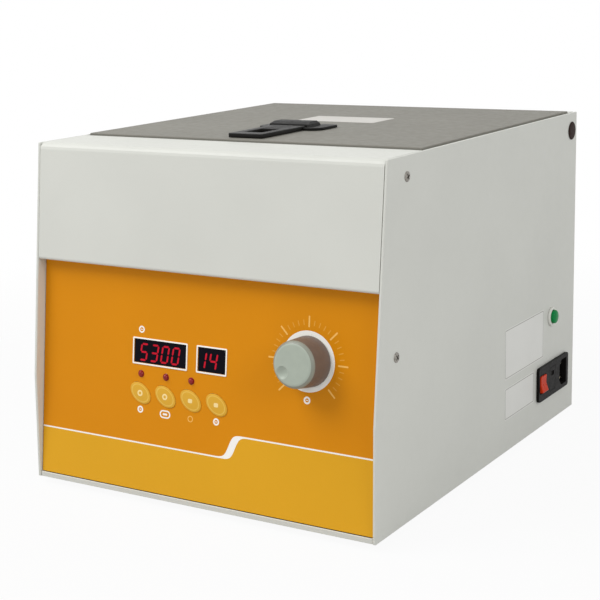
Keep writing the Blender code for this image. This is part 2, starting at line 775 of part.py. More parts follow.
def make_fascia():
    cutouts = plate("fascia_cutouts", fascia_openings(), -2 * FASCIA_BACK, FASCIA_BACK, frame=FASCIA)
    steel = [rectangle(0, (FASCIA_LENGTH + CLEAR) / 2, 2 * PANEL_X, FASCIA_LENGTH - CLEAR)]
    low, high = -FASCIA_BACK, SHEET - FASCIA_BACK
    fascia = plate("fascia_panel", steel, low, high, "case_paint", FASCIA)
    combine(fascia, cutouts)
    film_x = PANEL_X - CLEAR
    film = [rectangle(0, (OVERLAY_LENGTH + CLEAR) / 2, 2 * film_x, OVERLAY_LENGTH - CLEAR)]
    overlay = plate("fascia_overlay", film, -OVERLAY_SHEET, 0, "overlay_print", FASCIA)
    combine(overlay, cutouts)
    stud_end = BOARD_DEPTH - CLEAR
    stud_start = FASCIA_BACK - SHEET / 2
    middle = -(stud_start + stud_end) / 2
    places = []
    for x in (BOARD_X[0] + STUD_INSET, BOARD_X[1] - STUD_INSET):
        for y in (BOARD_Y[0] + STUD_INSET, BOARD_Y[1] - STUD_INSET):
            places.append((Matrix.Translation((x, y, middle)), stud_end - stud_start))
    studs = cylinders("fascia_studs", places, STUD_RADIUS, frame=FASCIA)
    combine(fascia, studs, "UNION")


def make_displays():
    back = CLEAR - BOARD_DEPTH
    wide = {
        "speed_display": (SPEED_DISPLAY_X, SPEED_DISPLAY_WIDTH),
        "time_display": (TIME_DISPLAY_X, TIME_DISPLAY_WIDTH),
    }
    for name, (x, width) in wide.items():
        window = [rectangle(x, DISPLAY_Y, width, DISPLAY_HEIGHT)]
        plate(name, window, back, -DISPLAY_RECESS, "display_glass", FASCIA)


def make_leds():
    dome = [math.pi / 2 * i / ARC_STEPS for i in range(ARC_STEPS + 1)]
    shoulder = LED_RISE - LED_RADIUS
    profile = [(LED_RADIUS * math.sin(a), shoulder + LED_RADIUS * math.cos(a)) for a in dome]
    profile += [(LED_RADIUS, CLEAR - BOARD_DEPTH), (0, CLEAR - BOARD_DEPTH)]
    for number, x in enumerate(key_xs(LED_COUNT), 1):
        led = turned(f"status_led_{number}", profile, "led_lens", FASCIA, SMALL_STEPS)
        led.location = (x, LED_Y, 0)


def make_keys():
    """Oval keys: turned to the long half axis, then narrowed across it."""
    stem_end = -(SWITCH_TOP - CLEAR - KEY_TRAVEL)
    cap_back = -(FASCIA_BACK - CLEAR)
    profile = [
        *dome(KEY_LONG, KEY_CROWN, KEY_EDGE),
        (KEY_LONG, cap_back),
        (2 * SWITCH_PLUNGER_RADIUS, cap_back),
        (2 * SWITCH_PLUNGER_RADIUS, stem_end),
        (0, stem_end),
    ]
    for name, x in zip(KEY_NAMES, key_xs(len(KEY_NAMES))):
        key = turned(name, profile, "key_film", FASCIA)
        key.location = (x, KEY_Y, 0)
        key.rotation_euler = (0, 0, KEY_TURN)
        key.scale = (1, KEY_SHORT / KEY_LONG, 1)


def make_control_board():
    middle = ((BOARD_X[0] + BOARD_X[1]) / 2, (BOARD_Y[0] + BOARD_Y[1]) / 2)
    outline = rectangle(*middle, BOARD_X[1] - BOARD_X[0], BOARD_Y[1] - BOARD_Y[0])
    board = plate(
        "control_board",
        [outline],
        -BOARD_DEPTH - BOARD_SHEET,
        -BOARD_DEPTH,
        "circuit_board",
        FASCIA,
    )
    sunk = -BOARD_DEPTH - BOARD_SHEET / 2
    body_top = SWITCH_BODY - BOARD_DEPTH
    half = SWITCH_SIZE / 2
    bodies = []
    plungers = []
    for x in key_xs(len(KEY_NAMES)):
        bodies.append(((x - half, KEY_Y - half, sunk), (x + half, KEY_Y + half, body_top)))
        length = -SWITCH_TOP - sunk
        plungers.append((Matrix.Translation((x, KEY_Y, sunk + length / 2)), length))
    combine(board, boxes("switch_bodies", bodies, FASCIA), "UNION")
    tips = cylinders("switch_plungers", plungers, SWITCH_PLUNGER_RADIUS, frame=FASCIA)
    combine(board, tips, "UNION")


def make_speed_control():
    bore = SHAFT_RADIUS + CLEAR
    body_top = -FASCIA_BACK - CLEAR
    floor = body_top - POT_DEPTH / 2
    body = [
        (0, floor),
        (bore, floor),
        (bore, CLEAR + POT_NUT_HEIGHT),
        (POT_NUT_RADIUS, CLEAR + POT_NUT_HEIGHT),
        (POT_NUT_RADIUS, CLEAR),
        (BUSH_RADIUS, CLEAR),
        (BUSH_RADIUS, body_top),
        (POT_RADIUS, body_top),
        (POT_RADIUS, body_top - POT_DEPTH),
        (0, body_top - POT_DEPTH),
    ]
    turned("speed_potentiometer", body, "sheet_steel", KNOB_AXIS, SMALL_STEPS)
    shaft_top = KNOB_HEIGHT - KNOB_ROOF - CLEAR
    shaft = [(0, shaft_top), (SHAFT_RADIUS, shaft_top), (SHAFT_RADIUS, floor + CLEAR), (0, floor + CLEAR)]
    turned("knob_shaft", shaft, "turned_steel", KNOB_AXIS, SMALL_STEPS)
    pocket_top = CLEAR + POT_NUT_HEIGHT + KNOB_LIFT
    arc = [math.pi / 2 * i / ARC_STEPS for i in range(ARC_STEPS + 1)]
    edge_x = KNOB_FACE_RADIUS - KNOB_ROUND
    edge_z = KNOB_HEIGHT - KNOB_ROUND
    knob = [(0, KNOB_HEIGHT)]
    knob += [(edge_x + KNOB_ROUND * math.sin(a), edge_z + KNOB_ROUND * math.cos(a)) for a in arc]
    knob += [
        (KNOB_BASE_RADIUS, KNOB_LIFT),
        (KNOB_POCKET, KNOB_LIFT),
        (KNOB_POCKET, pocket_top),
        (bore, pocket_top),
        (bore, shaft_top + CLEAR),
        (0, shaft_top + CLEAR),
    ]
    made = turned("speed_knob", knob, "knob_plastic", KNOB_AXIS, FINE_STEPS)
    ball = turned("knob_dimple", ball_profile(DIMPLE_RADIUS), frame=KNOB_AXIS, steps=SMALL_STEPS)
    ball.location = (
        DIMPLE_REACH * math.cos(DIMPLE_ANGLE),
        DIMPLE_REACH * math.sin(DIMPLE_ANGLE),
        KNOB_HEIGHT + DIMPLE_RADIUS - DIMPLE_DEPTH,
    )
    combine(made, ball)


def dome(radius, top, edge):
    """Profile of a shallow dome, from the height of its middle down to the height of its edge."""
    shares = [i / DOME_STEPS for i in range(DOME_STEPS + 1)]
    return [(radius * share, top - (top - edge) * share**2) for share in shares]


def ball_profile(radius):
    angles = [math.pi * i / (4 * ARC_STEPS) for i in range(4 * ARC_STEPS + 1)]
    return [(radius * math.sin(a), radius * math.cos(a)) for a in angles]


# Power inlet and reset button, in the plane of the right side panel: X to the back, Y up, Z out


def socket_outline():
    """The inlet socket: two of its corners are cut off, on the side of the earth pin."""
    left, right = SOCKET_X - SOCKET_WIDTH / 2, SOCKET_X + SOCKET_WIDTH / 2
    half = SOCKET_HEIGHT / 2
    return [
        (left, SOCKET_CHAMFER - half),
        (left + SOCKET_CHAMFER, -half),
        (right, -half),
        (right, half),
        (left + SOCKET_CHAMFER, half),
        (left, half - SOCKET_CHAMFER),
    ]


def make_inlet():
    flange = rounded_outline(rectangle(0, 0, INLET_LENGTH, INLET_HEIGHT), INLET_CORNER)
    inlet = plate("power_inlet", [flange], CLEAR, INLET_FACE, "black_plastic", INLET)
    middle = CLEAR + INLET_FLANGE / 2
    body = plate("inlet_body", [rectangle(0, 0, *INLET_BODY)], -INLET_DEPTH, middle, frame=INLET)
    combine(inlet, body, "UNION")
    past = INLET_FACE + INLET_FLANGE
    socket = plate("inlet_socket", [socket_outline()], INLET_FACE - SOCKET_DEPTH, past, frame=INLET)
    combine(inlet, socket)
    opening = rectangle(
        ROCKER_X, 0, ROCKER_WIDTH + 2 * CLEAR, ROCKER_HEIGHT + 2 * ROCKER_ROOM
    )
    well = -2 * ROCKER_DEPTH
    combine(inlet, plate("rocker_opening", [opening], well, past, frame=INLET))
    slot = rectangle(DRAWER_X, 0, DRAWER_WIDTH + 2 * CLEAR, DRAWER_HEIGHT + 2 * CLEAR)
    slot_floor = INLET_FACE - DRAWER_LENGTH - CLEAR
    combine(inlet, plate("drawer_slot", [slot], slot_floor, past, frame=INLET))


def make_inlet_pins():
    pins = {
        "inlet_pin_earth": (SOCKET_X - PIN_OFFSET, 0),
        "inlet_pin_line": (SOCKET_X + PIN_OFFSET, PIN_SPREAD),
        "inlet_pin_neutral": (SOCKET_X + PIN_OFFSET, -PIN_SPREAD),
    }
    foot = INLET_FACE - SOCKET_DEPTH + CLEAR
    for name, (x, y) in pins.items():
        blade = [rectangle(x, y, PIN_WIDTH, PIN_THICK)]
        pin = plate(name, blade, foot, foot + PIN_LENGTH, "pin_brass", INLET)
        round_edges(pin, PIN_ROUND, 1)


def make_rocker():
    """A rocker with a shallow valley, drawn in its section and tilted about its pivot at rest."""
    axis = add_frame("rocker_axis", (ROCKER_X, 0, 0), (-ROCKER_TILT, 0, 0), INLET)
    half = ROCKER_HEIGHT / 2
    crest = INLET_FACE + ROCKER_RISE
    valley = INLET_FACE + ROCKER_VALLEY
    section = [
        (-half, -ROCKER_DEPTH),
        (half, -ROCKER_DEPTH),
        (half, crest),
        (0, valley),
        (-half, crest),
    ]
    side = ROCKER_WIDTH / 2
    rocker = plate("power_rocker", [section], -side, side, "rocker_red", axis)
    rocker.rotation_euler = SIDE_TURN
    round_edges(rocker, EDGE_ROUND)


def make_fuse_drawer():
    face = [rectangle(DRAWER_X, 0, DRAWER_WIDTH, DRAWER_HEIGHT)]
    back = INLET_FACE - DRAWER_LENGTH
    drawer = plate("fuse_drawer", face, back, INLET_FACE, "black_plastic", INLET)
    top = DRAWER_HEIGHT / 2
    grip = boxes(
        "drawer_grip",
        [
            (
                (DRAWER_X - DRAWER_WIDTH / 4, top - 2 * DRAWER_GRIP, INLET_FACE - DRAWER_GRIP_DEPTH),
                (DRAWER_X + DRAWER_WIDTH / 4, top - DRAWER_GRIP, INLET_FACE + DRAWER_GRIP_DEPTH),
            )
        ],
        INLET,
    )
    combine(drawer, grip)


def make_reset():
    behind = -SIDE_SHEET - CLEAR
    bore = RESET_STEM + CLEAR
    roof = RESET_RISE - 2 * RESET_WALL
    neck_top = roof - RESET_TRAVEL - CLEAR
    stem_end = -RESET_BODY / 2
    floor = stem_end - RESET_TRAVEL - CLEAR
    body = [
        (0, floor),
        (bore, floor),
        (bore, neck_top),
        (RESET_NECK_RADIUS, neck_top),
        (RESET_NECK_RADIUS, behind),
        (RESET_BODY_RADIUS, behind),
        (RESET_BODY_RADIUS, behind - RESET_BODY),
        (0, behind - RESET_BODY),
    ]
    turned("reset_breaker", body, "black_plastic", RESET, SMALL_STEPS)
    bezel_bore = RESET_RADIUS + CLEAR
    bezel = [
        (bezel_bore, RESET_BEZEL),
        (RESET_BEZEL_RADIUS - RESET_WALL, RESET_BEZEL),
        (RESET_BEZEL_RADIUS, RESET_BEZEL - RESET_WALL),
        (RESET_BEZEL_RADIUS, CLEAR),
        (bezel_bore, CLEAR),
    ]
    turned("reset_bezel", bezel, "bezel_plastic", RESET, closed=True)
    skirt = CLEAR + RESET_TRAVEL + CLEAR
    inside = RESET_RADIUS - RESET_WALL
    button = [
        *dome(RESET_RADIUS, RESET_RISE, roof),
        (RESET_RADIUS, skirt),
        (inside, skirt),
        (inside, roof),
        (RESET_STEM, roof),
        (RESET_STEM, stem_end),
        (0, stem_end),
    ]
    turned("reset_button", button, "reset_green", RESET)


# Lid, hinge and latch


def make_lid():
    """The lid pan: a flat top with a skirt in front and on both sides, open below and behind."""
    low = (-LID_X, LID_FRONT_Y - HINGE_Y, SKIRT_Z - HINGE_Z)
    high = (LID_X, 0, LID_TOP - HINGE_Z)
    lid = box("lid_panel", low, high, "lid_paint", LID_AXIS)
    bm = bmesh.new()
    bm.from_mesh(lid.data)
    opened = [face for face in bm.faces if face.normal.z < -0.5 or face.normal.y > 0.5]
    bmesh.ops.delete(bm, geom=opened, context="FACES")
    bm.to_mesh(lid.data)
    bm.free()
    thicken(lid, LID_SHEET)
    round_edges(lid, LID_ROUND)
    trim = boxes(
        "lid_rear_trim",
        [
            (
                (-SIDE_X, HINGE_Y - SKIRT_TRIM, SKIRT_Z - LID_SKIRT),
                (SIDE_X, HINGE_Y + SKIRT_TRIM, LID_UNDER - CLEAR),
            )
        ],
    )
    combine(lid, trim)
    half = BOLT_WIDTH / 2 + BOLT_ROOM
    stem_y = LATCH_Y + STEM_FRONT
    room = STEM_RADIUS + BOLT_ROOM
    openings = [
        (
            (LATCH_X - half, LID_FRONT_Y - LID_SHEET, BOLT_TOP - BOLT_SHEET - BOLT_ROOM),
            (LATCH_X + half, LID_FRONT_Y + 2 * LID_SHEET, BOLT_TOP + BOLT_ROOM),
        ),
        (
            (LATCH_X - room, stem_y - LATCH_TRAVEL - room, LID_UNDER - LID_SHEET),
            (LATCH_X + room, stem_y + room, LID_TOP + LID_SHEET),
        ),
    ]
    combine(lid, boxes("lid_latch_openings", openings))


def make_liner():
    front = LID_FRONT_Y + CLEAR
    length = LINER_REAR_Y - front
    width = 2 * (LID_X - CLEAR)
    outline = rectangle(0, (front + LINER_REAR_Y) / 2 - HINGE_Y, width, length)
    low, high = LINER_UNDER - HINGE_Z, LINER_TOP - HINGE_Z
    plate("lid_liner", [rounded_outline(outline, LINER_CORNER)], low, high, "sheet_steel", LID_AXIS)


def make_lid_strip():
    """The painted strip behind the lid: it rides on the hinge arms and swings down behind the case."""
    low, high = STRIP_UNDER - HINGE_Z, TOP_Z - HINGE_Z
    outline = rectangle(0, (CLEAR + HINGE_BACK) / 2, 2 * LID_X, HINGE_BACK - CLEAR)
    plate("lid_strip", [outline], low, high, "case_paint", LID_AXIS)


def make_hinge(side):
    """The arm, pin and outer cap of one hinge: the arm is on the lid, the pin and cap on the case."""
    sign = 1 if side == "right" else -1
    top = LID_UNDER - CLEAR - HINGE_Z
    steps = 3 * ARC_STEPS
    sweep = [HINGE_EAR_START - HINGE_EAR_SWEEP * i / steps for i in range(steps + 1)]
    ear = [(HINGE_ARM_RADIUS * math.cos(a), HINGE_ARM_RADIUS * math.sin(a)) for a in sweep]
    tail = top - HINGE_ARM_RADIUS
    shelf = STRIP_UNDER - CLEAR - HINGE_Z
    outline = [*ear, (-HINGE_ARM_REACH, tail), (-HINGE_ARM_REACH, top), (0, top)]
    outline += [(0, shelf), (HINGE_ARM_RADIUS, shelf)]
    hole = circle(0, 0, HINGE_PIN_RADIUS + CLEAR)
    inner = ARM_X - HINGE_ARM_SHEET if side == "right" else -ARM_X
    arm = plate(
        f"hinge_arm_{side}",
        [outline, hole],
        inner,
        inner + HINGE_ARM_SHEET,
        "sheet_steel",
        LID_AXIS,
    )
    arm.rotation_euler = SIDE_TURN
    turn = (0, sign * math.pi / 2, 0)
    pin_end = SIDE_X - CLEAR
    pin_start = ARM_X - HINGE_ARM_SHEET - CLEAR
    collar_top = INNER_X - CLEAR
    pin = [
        (0, pin_end),
        (HINGE_PIN_RADIUS, pin_end),
        (HINGE_PIN_RADIUS, collar_top),
        (HINGE_COLLAR_RADIUS, collar_top),
        (HINGE_COLLAR_RADIUS, collar_top - HINGE_COLLAR),
        (HINGE_PIN_RADIUS, collar_top - HINGE_COLLAR),
        (HINGE_PIN_RADIUS, pin_start),
        (0, pin_start),
    ]
    made_pin = turned(f"hinge_pin_{side}", pin, "turned_steel", steps=SMALL_STEPS)
    cap_low = SIDE_X + CLEAR
    cap = [
        *dome(HINGE_CAP_RADIUS, cap_low + HINGE_CAP, cap_low + HINGE_CAP_EDGE),
        (HINGE_CAP_RADIUS, cap_low),
        (0, cap_low),
    ]
    made_cap = turned(f"hinge_cap_{side}", cap, "black_plastic")
    for piece in (made_pin, made_cap):
        piece.location = (0, HINGE_Y, HINGE_Z)
        piece.rotation_euler = turn


def make_latch():
    """A slide with a finger window under a bridge on the lid, and the bolt that it carries below."""
    place = (LATCH_X, LATCH_Y - HINGE_Y, LID_TOP - HINGE_Z)
    axis = add_frame("latch_track", place, parent=LID_AXIS)
    low, high = CLEAR, CLEAR + LATCH_THICK
    tongue = rounded_outline(rectangle(0, LATCH_LENGTH / 2, LATCH_WIDTH, LATCH_LENGTH), LATCH_CORNER)
    window_y = WINDOW_FRONT + WINDOW_LENGTH / 2
    window = rounded_outline(rectangle(0, window_y, WINDOW_WIDTH, WINDOW_LENGTH), LATCH_CORNER)
    slide = plate("latch_slide", [tongue, window], low, high, "black_plastic", axis)
    seat = STEM_SEAT + 2 * CLEAR
    stem_hole = [(Matrix.Translation((0, STEM_FRONT, 0)), 2 * seat)]
    combine(slide, cylinders("stem_seat", stem_hole, STEM_RADIUS + CLEAR, frame=axis))

    bridge_y = BRIDGE_FRONT + BRIDGE_LENGTH / 2
    wings = rounded_outline(rectangle(0, bridge_y, BRIDGE_WIDTH, BRIDGE_LENGTH), LATCH_CORNER)
    wing_top = low + BRIDGE_SHEET
    bridge = plate("latch_bridge", [wings], low, wing_top, "black_plastic", axis)
    block = box(
        "bridge_block",
        (-BLOCK_WIDTH / 2, bridge_y - BLOCK_LENGTH / 2, (low + wing_top) / 2),
        (BLOCK_WIDTH / 2, bridge_y + BLOCK_LENGTH / 2, wing_top + BLOCK_RISE),
        frame=axis,
    )
    bm = bmesh.new()
    bm.from_mesh(block.data)
    crown = [vert for vert in bm.verts if vert.co.z > wing_top]
    narrow = (1 - 2 * BLOCK_SLOPE / BLOCK_WIDTH, 1 - 2 * BLOCK_SLOPE / BLOCK_LENGTH, 1)
    about = Matrix.Translation((0, -bridge_y, 0))
    bmesh.ops.scale(bm, verts=crown, vec=narrow, space=about)
    bm.to_mesh(block.data)
    bm.free()
    combine(bridge, block, "UNION")
    channel = boxes(
        "bridge_channel",
        [
            (
                (-LATCH_WIDTH / 2 - CLEAR, BRIDGE_FRONT - BRIDGE_LENGTH, -LATCH_THICK),
                (LATCH_WIDTH / 2 + CLEAR, BRIDGE_FRONT + 2 * BRIDGE_LENGTH, high + CLEAR),
            )
        ],
        axis,
    )
    combine(bridge, channel)

    bolt_top = BOLT_TOP - LID_TOP
    tip = LID_SHEET + CLEAR - LATCH_FRONT
    length = STEM_FRONT + BOLT_WIDTH / 2 - tip
    strip = rectangle(0, tip + length / 2, BOLT_WIDTH, length)
    bolt = plate("latch_bolt", [strip], bolt_top - BOLT_SHEET, bolt_top, "turned_steel", axis)
    stem_low = bolt_top - BOLT_SHEET / 2
    stem_top = low + STEM_SEAT
    middle = Matrix.Translation((0, STEM_FRONT, (stem_low + stem_top) / 2))
    stem = cylinders("bolt_stem", [(middle, stem_top - stem_low)], STEM_RADIUS, frame=axis)
    combine(bolt, stem, "UNION")


# Bowl, rotor and drive


def make_bowl():
    inner, outer = BOWL_RADIUS, BOWL_RADIUS + BOWL_SHEET
    flange = BOWL_RADIUS + BOWL_FLANGE
    seat = DECK_TOP + CLEAR
    top = seat + BOWL_SHEET
    under = BOWL_FLOOR - BOWL_SHEET
    corner = [math.pi / 2 * i / ARC_STEPS for i in range(ARC_STEPS + 1)]
    outer_radius = BOWL_CORNER + BOWL_SHEET
    outside = [
        (
            inner - BOWL_CORNER + outer_radius * math.cos(a),
            BOWL_FLOOR + BOWL_CORNER - outer_radius * math.sin(a),
        )
        for a in corner
    ]
    inside = [
        (
            inner - BOWL_CORNER + BOWL_CORNER * math.cos(a),
            BOWL_FLOOR + BOWL_CORNER - BOWL_CORNER * math.sin(a),
        )
        for a in reversed(corner)
    ]
    profile = [(inner, top), (flange, top), (flange, seat), (outer, seat), *outside]
    profile += [(BOWL_HOLE_RADIUS, under), (BOWL_HOLE_RADIUS, BOWL_FLOOR), *inside]
    turned("rotor_bowl", profile, "spun_steel", ROTOR_AXIS, FINE_STEPS, closed=True)
    low = top + CLEAR
    high = LINER_UNDER - CLEAR
    first = inner + GASKET_INSET
    last = first + GASKET_WIDTH
    lip = (high - low) / 3
    ring = [
        (first + lip, high),
        (last - lip, high),
        (last, high - lip),
        (last, low),
        (first, low),
        (first, high - lip),
    ]
    turned("bowl_gasket", ring, "black_rubber", ROTOR_AXIS, FINE_STEPS, closed=True)


def tube_holes():
    """Places of the tube holes: each leans outwards going down, from a mouth in the rotor's dish."""
    middle_radius = (ROTOR_RIM_RADIUS - ROTOR_RIM + ROTOR_DISH_RADIUS) / 2
    mouth_z = ROTOR_Z + ROTOR_HEIGHT - ROTOR_DISH / 2
    slope = ROTOR_DISH / (ROTOR_RIM_RADIUS - ROTOR_RIM - ROTOR_DISH_RADIUS)
    mouth_z += (TUBE_MOUTH_RADIUS - middle_radius) * slope
    above = TUBE_RADIUS * 2
    length = TUBE_DEPTH + above
    drop = TUBE_DEPTH - length / 2
    places = []
    for i in range(TUBE_COUNT):
        turn = Matrix.Rotation(2 * math.pi * i / TUBE_COUNT, 4, "Z")
        mouth = Matrix.Translation((TUBE_MOUTH_RADIUS, 0, mouth_z))
        lean = Matrix.Rotation(-TUBE_TILT, 4, "Y")
        places.append((turn @ mouth @ lean @ Matrix.Translation((0, 0, -drop)), length))
    return places


def make_rotor():
    bore = SPINDLE_RADIUS + CLEAR
    top = ROTOR_Z + ROTOR_HEIGHT
    dish_edge = ROTOR_RIM_RADIUS - ROTOR_RIM
    profile = [
        (bore, ROTOR_SEAT),
        (ROTOR_DISH_RADIUS, ROTOR_SEAT),
        (dish_edge, top),
        (ROTOR_RIM_RADIUS, top),
        (ROTOR_RADIUS, ROTOR_Z + ROTOR_FOOT),
        (ROTOR_RADIUS - ROTOR_FOOT, ROTOR_Z),
        (bore, ROTOR_Z),
    ]
    rotor = turned("rotor_head", profile, "cast_aluminium", ROTOR_AXIS, FINE_STEPS, closed=True)
    holes = cylinders("tube_holes", tube_holes(), TUBE_RADIUS, SMALL_STEPS, ROTOR_AXIS)
    combine(rotor, holes)
    stud_top = ROTOR_SEAT + SPINDLE_STUD
    collar_top = ROTOR_Z - CLEAR
    foot = MOTOR_TOP - SPINDLE_DEPTH + CLEAR
    spindle = [
        (0, stud_top),
        (SPINDLE_RADIUS, stud_top),
        (SPINDLE_RADIUS, collar_top),
        (SPINDLE_COLLAR_RADIUS, collar_top),
        (SPINDLE_COLLAR_RADIUS, collar_top - SPINDLE_COLLAR),
        (SPINDLE_RADIUS, collar_top - SPINDLE_COLLAR),
        (SPINDLE_RADIUS, foot),
        (0, foot),
    ]
    turned("motor_spindle", spindle, "turned_steel", ROTOR_AXIS, SMALL_STEPS)
    nut_low = ROTOR_SEAT + CLEAR
    nut_top = nut_low + NUT_HEIGHT
    nut = [
        (0, nut_top),
        (NUT_RADIUS - NUT_CHAMFER, nut_top),
        (NUT_RADIUS, nut_top - NUT_CHAMFER),
        (NUT_RADIUS, nut_low),
        (bore, nut_low),
        (bore, stud_top + CLEAR),
        (0, stud_top + CLEAR),
    ]
    turned("rotor_nut", nut, "black_plastic", ROTOR_AXIS)


def make_drive():
    bore = SPINDLE_RADIUS + CLEAR
    floor = MOTOR_TOP - SPINDLE_DEPTH
    bottom = PLATE_TOP + CLEAR
    boss_low = MOTOR_TOP - MOTOR_BOSS
    body_top = boss_low - MOTOR_SHOULDER
    motor = [
        (0, floor),
        (bore, floor),
        (bore, MOTOR_TOP),
        (MOTOR_BOSS_RADIUS, MOTOR_TOP),
        (MOTOR_BOSS_RADIUS, boss_low),
        (MOTOR_RADIUS - MOTOR_SHOULDER, boss_low),
        (MOTOR_RADIUS, body_top),
        (MOTOR_RADIUS, bottom),
        (0, bottom),
    ]
    turned("motor", motor, "motor_paint", ROTOR_AXIS)
    outline = rounded_outline(rectangle(0, 0, PLATE_SIZE, PLATE_SIZE), PLATE_CORNER)
    plate("motor_plate", [outline], PLATE_TOP - PLATE_SHEET, PLATE_TOP, "sheet_steel", ROTOR_AXIS)
    low = BASE_TOP + CLEAR
    high = low + BUFFER_HEIGHT
    buffer = [
        (0, high),
        (BUFFER_RADIUS, high),
        (BUFFER_RADIUS - BUFFER_WAIST, (low + high) / 2),
        (BUFFER_RADIUS, low),
        (0, low),
    ]
    rows = {"front": -BUFFER_SPREAD, "rear": BUFFER_SPREAD}
    columns = {"left": -BUFFER_SPREAD, "right": BUFFER_SPREAD}
    for row, y in rows.items():
        for column, x in columns.items():
            name = f"motor_buffer_{row}_{column}"
            made = turned(name, buffer, "black_rubber", ROTOR_AXIS, SMALL_STEPS)
            made.location = (x, y, 0)
    neck = BOWL_HOLE_RADIUS - CLEAR
    seat = BOWL_FLOOR + CLEAR
    boot_low = MOTOR_TOP + CLEAR
    boot = [
        (BOOT_BORE, seat + BOOT_FLANGE),
        (BOOT_FLANGE_RADIUS, seat + BOOT_FLANGE),
        (BOOT_FLANGE_RADIUS, seat),
        (neck, seat),
        (neck, BOWL_FLOOR - 2 * BOWL_SHEET),
        (neck - BOOT_WAIST, (BOWL_FLOOR + boot_low) / 2),
        (neck, boot_low + BOWL_SHEET),
        (neck, boot_low),
        (BOOT_BORE, boot_low),
    ]
    turned("spindle_boot", boot, "black_rubber", ROTOR_AXIS, closed=True)


def make_drive_board():
    """The motor's drive board, standing on the base on four legs."""
    width, length = DRIVE_BOARD_SIZE
    x = -SIDE_X + DRIVE_BOARD_SIDE + width / 2
    y = FRONT_Y + DRIVE_BOARD_FRONT + length / 2
    low = BASE_TOP + CLEAR + DRIVE_BOARD_LEG
    outline = rectangle(x, y, width, length)
    board = plate("drive_board", [outline], low, low + BOARD_SHEET, "circuit_board")
    foot = BASE_TOP + CLEAR
    height = DRIVE_BOARD_LEG + BOARD_SHEET / 2
    legs = []
    for across in (-1, 1):
        for along in (-1, 1):
            place = (
                x + across * (width / 2 - STUD_INSET),
                y + along * (length / 2 - STUD_INSET),
                foot + height / 2,
            )
            legs.append((Matrix.Translation(place), height))
    combine(board, cylinders("drive_board_legs", legs, STUD_RADIUS), "UNION")


make_base()
make_feet()
make_side_panels()
make_cowl()
make_rear_panel()
make_deck()
make_fascia()
make_displays()
make_leds()
make_keys()
make_control_board()
make_speed_control()
make_inlet()
make_inlet_pins()
make_rocker()
make_fuse_drawer()
make_reset()
make_lid()
make_liner()
make_lid_strip()
make_hinge("left")
make_hinge("right")
make_latch()
make_bowl()
make_rotor()
make_drive()
make_drive_board()
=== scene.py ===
"""How the bench-top centrifuge looks: finer forms, printed film, small fasteners and materials over
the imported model, with a plain studio around it. Metres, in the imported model's own frame.
"""

import json
import math

import bmesh
import bpy
from mathutils import Matrix, Vector


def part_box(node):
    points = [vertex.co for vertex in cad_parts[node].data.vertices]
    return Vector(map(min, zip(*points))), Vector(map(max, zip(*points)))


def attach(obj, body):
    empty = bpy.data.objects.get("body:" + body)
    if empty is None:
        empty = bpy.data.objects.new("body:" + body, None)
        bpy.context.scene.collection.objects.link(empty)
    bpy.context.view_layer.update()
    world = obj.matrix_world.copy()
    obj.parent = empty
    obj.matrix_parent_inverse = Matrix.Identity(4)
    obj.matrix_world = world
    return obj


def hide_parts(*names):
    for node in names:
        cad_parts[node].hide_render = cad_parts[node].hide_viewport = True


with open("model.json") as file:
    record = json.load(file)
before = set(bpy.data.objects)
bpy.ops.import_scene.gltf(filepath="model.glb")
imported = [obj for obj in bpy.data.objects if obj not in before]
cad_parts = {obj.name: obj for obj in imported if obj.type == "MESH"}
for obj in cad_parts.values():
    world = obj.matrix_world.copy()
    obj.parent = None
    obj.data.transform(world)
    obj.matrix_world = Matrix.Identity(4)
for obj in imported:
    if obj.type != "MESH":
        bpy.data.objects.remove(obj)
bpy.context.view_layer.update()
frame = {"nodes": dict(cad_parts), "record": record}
NODES = frame["nodes"]
MM = 0.001
FLAT = Matrix.Identity(4)

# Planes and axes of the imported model
LEAN = math.radians(7)
CLEAR = 0.3 * MM
FILM_FOOT = 4.6 * MM  # the film's lower edge above the case's
FILM_LOW, FILM_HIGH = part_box("fascia_overlay")
FLOOR_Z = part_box("side_panel_right")[0].z
SIDE_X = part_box("side_panel_right")[1].x
BACK_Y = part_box("side_panel_right")[1].y
FASCIA = (
    Matrix.Translation((0, FILM_LOW.y - CLEAR * math.sin(LEAN), FLOOR_Z + FILM_FOOT))
    @ Matrix.Rotation(math.pi / 2 - LEAN, 4, "X")
)
SIDE_TURN = Matrix(((0, 0, 1, 0), (1, 0, 0, 0), (0, 1, 0, 0), (0, 0, 0, 1)))
RIGHT_SIDE = Matrix.Translation((SIDE_X, BACK_Y, FLOOR_Z)) @ SIDE_TURN
LEFT_SIDE = Matrix.Translation((-SIDE_X, BACK_Y, FLOOR_Z)) @ Matrix.Rotation(math.pi, 4, "Z") @ SIDE_TURN
BOWL_LOW, BOWL_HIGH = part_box("rotor_bowl")
ROTOR_Y = (BOWL_LOW.y + BOWL_HIGH.y) / 2
ROTOR = Matrix.Translation((0, ROTOR_Y, 0))
LID_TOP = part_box("lid_panel")[1].z


# Materials


LOOKS = {}  # each material by its name
MIX_FIRST, MIX_SECOND, MIX_RESULT = 6, 7, 2  # a Mix node's colour sockets


def shade_of(red, green, blue):
    """A colour written as it shows on a screen, 0 to 255, as the shader takes it."""
    parts = [c / 255 for c in (red, green, blue)]
    return tuple(c / 12.92 if c <= 0.04045 else ((c + 0.055) / 1.055) ** 2.4 for c in parts)


def maths(tree, operation, first, second):
    """A Math node on two sockets, or on a socket and a number."""
    made = tree.nodes.new("ShaderNodeMath")
    made.operation = operation
    for socket, value in zip(made.inputs, (first, second)):
        if isinstance(value, float):
            socket.default_value = value
        else:
            tree.links.new(value, socket)
    return made.outputs["Value"]


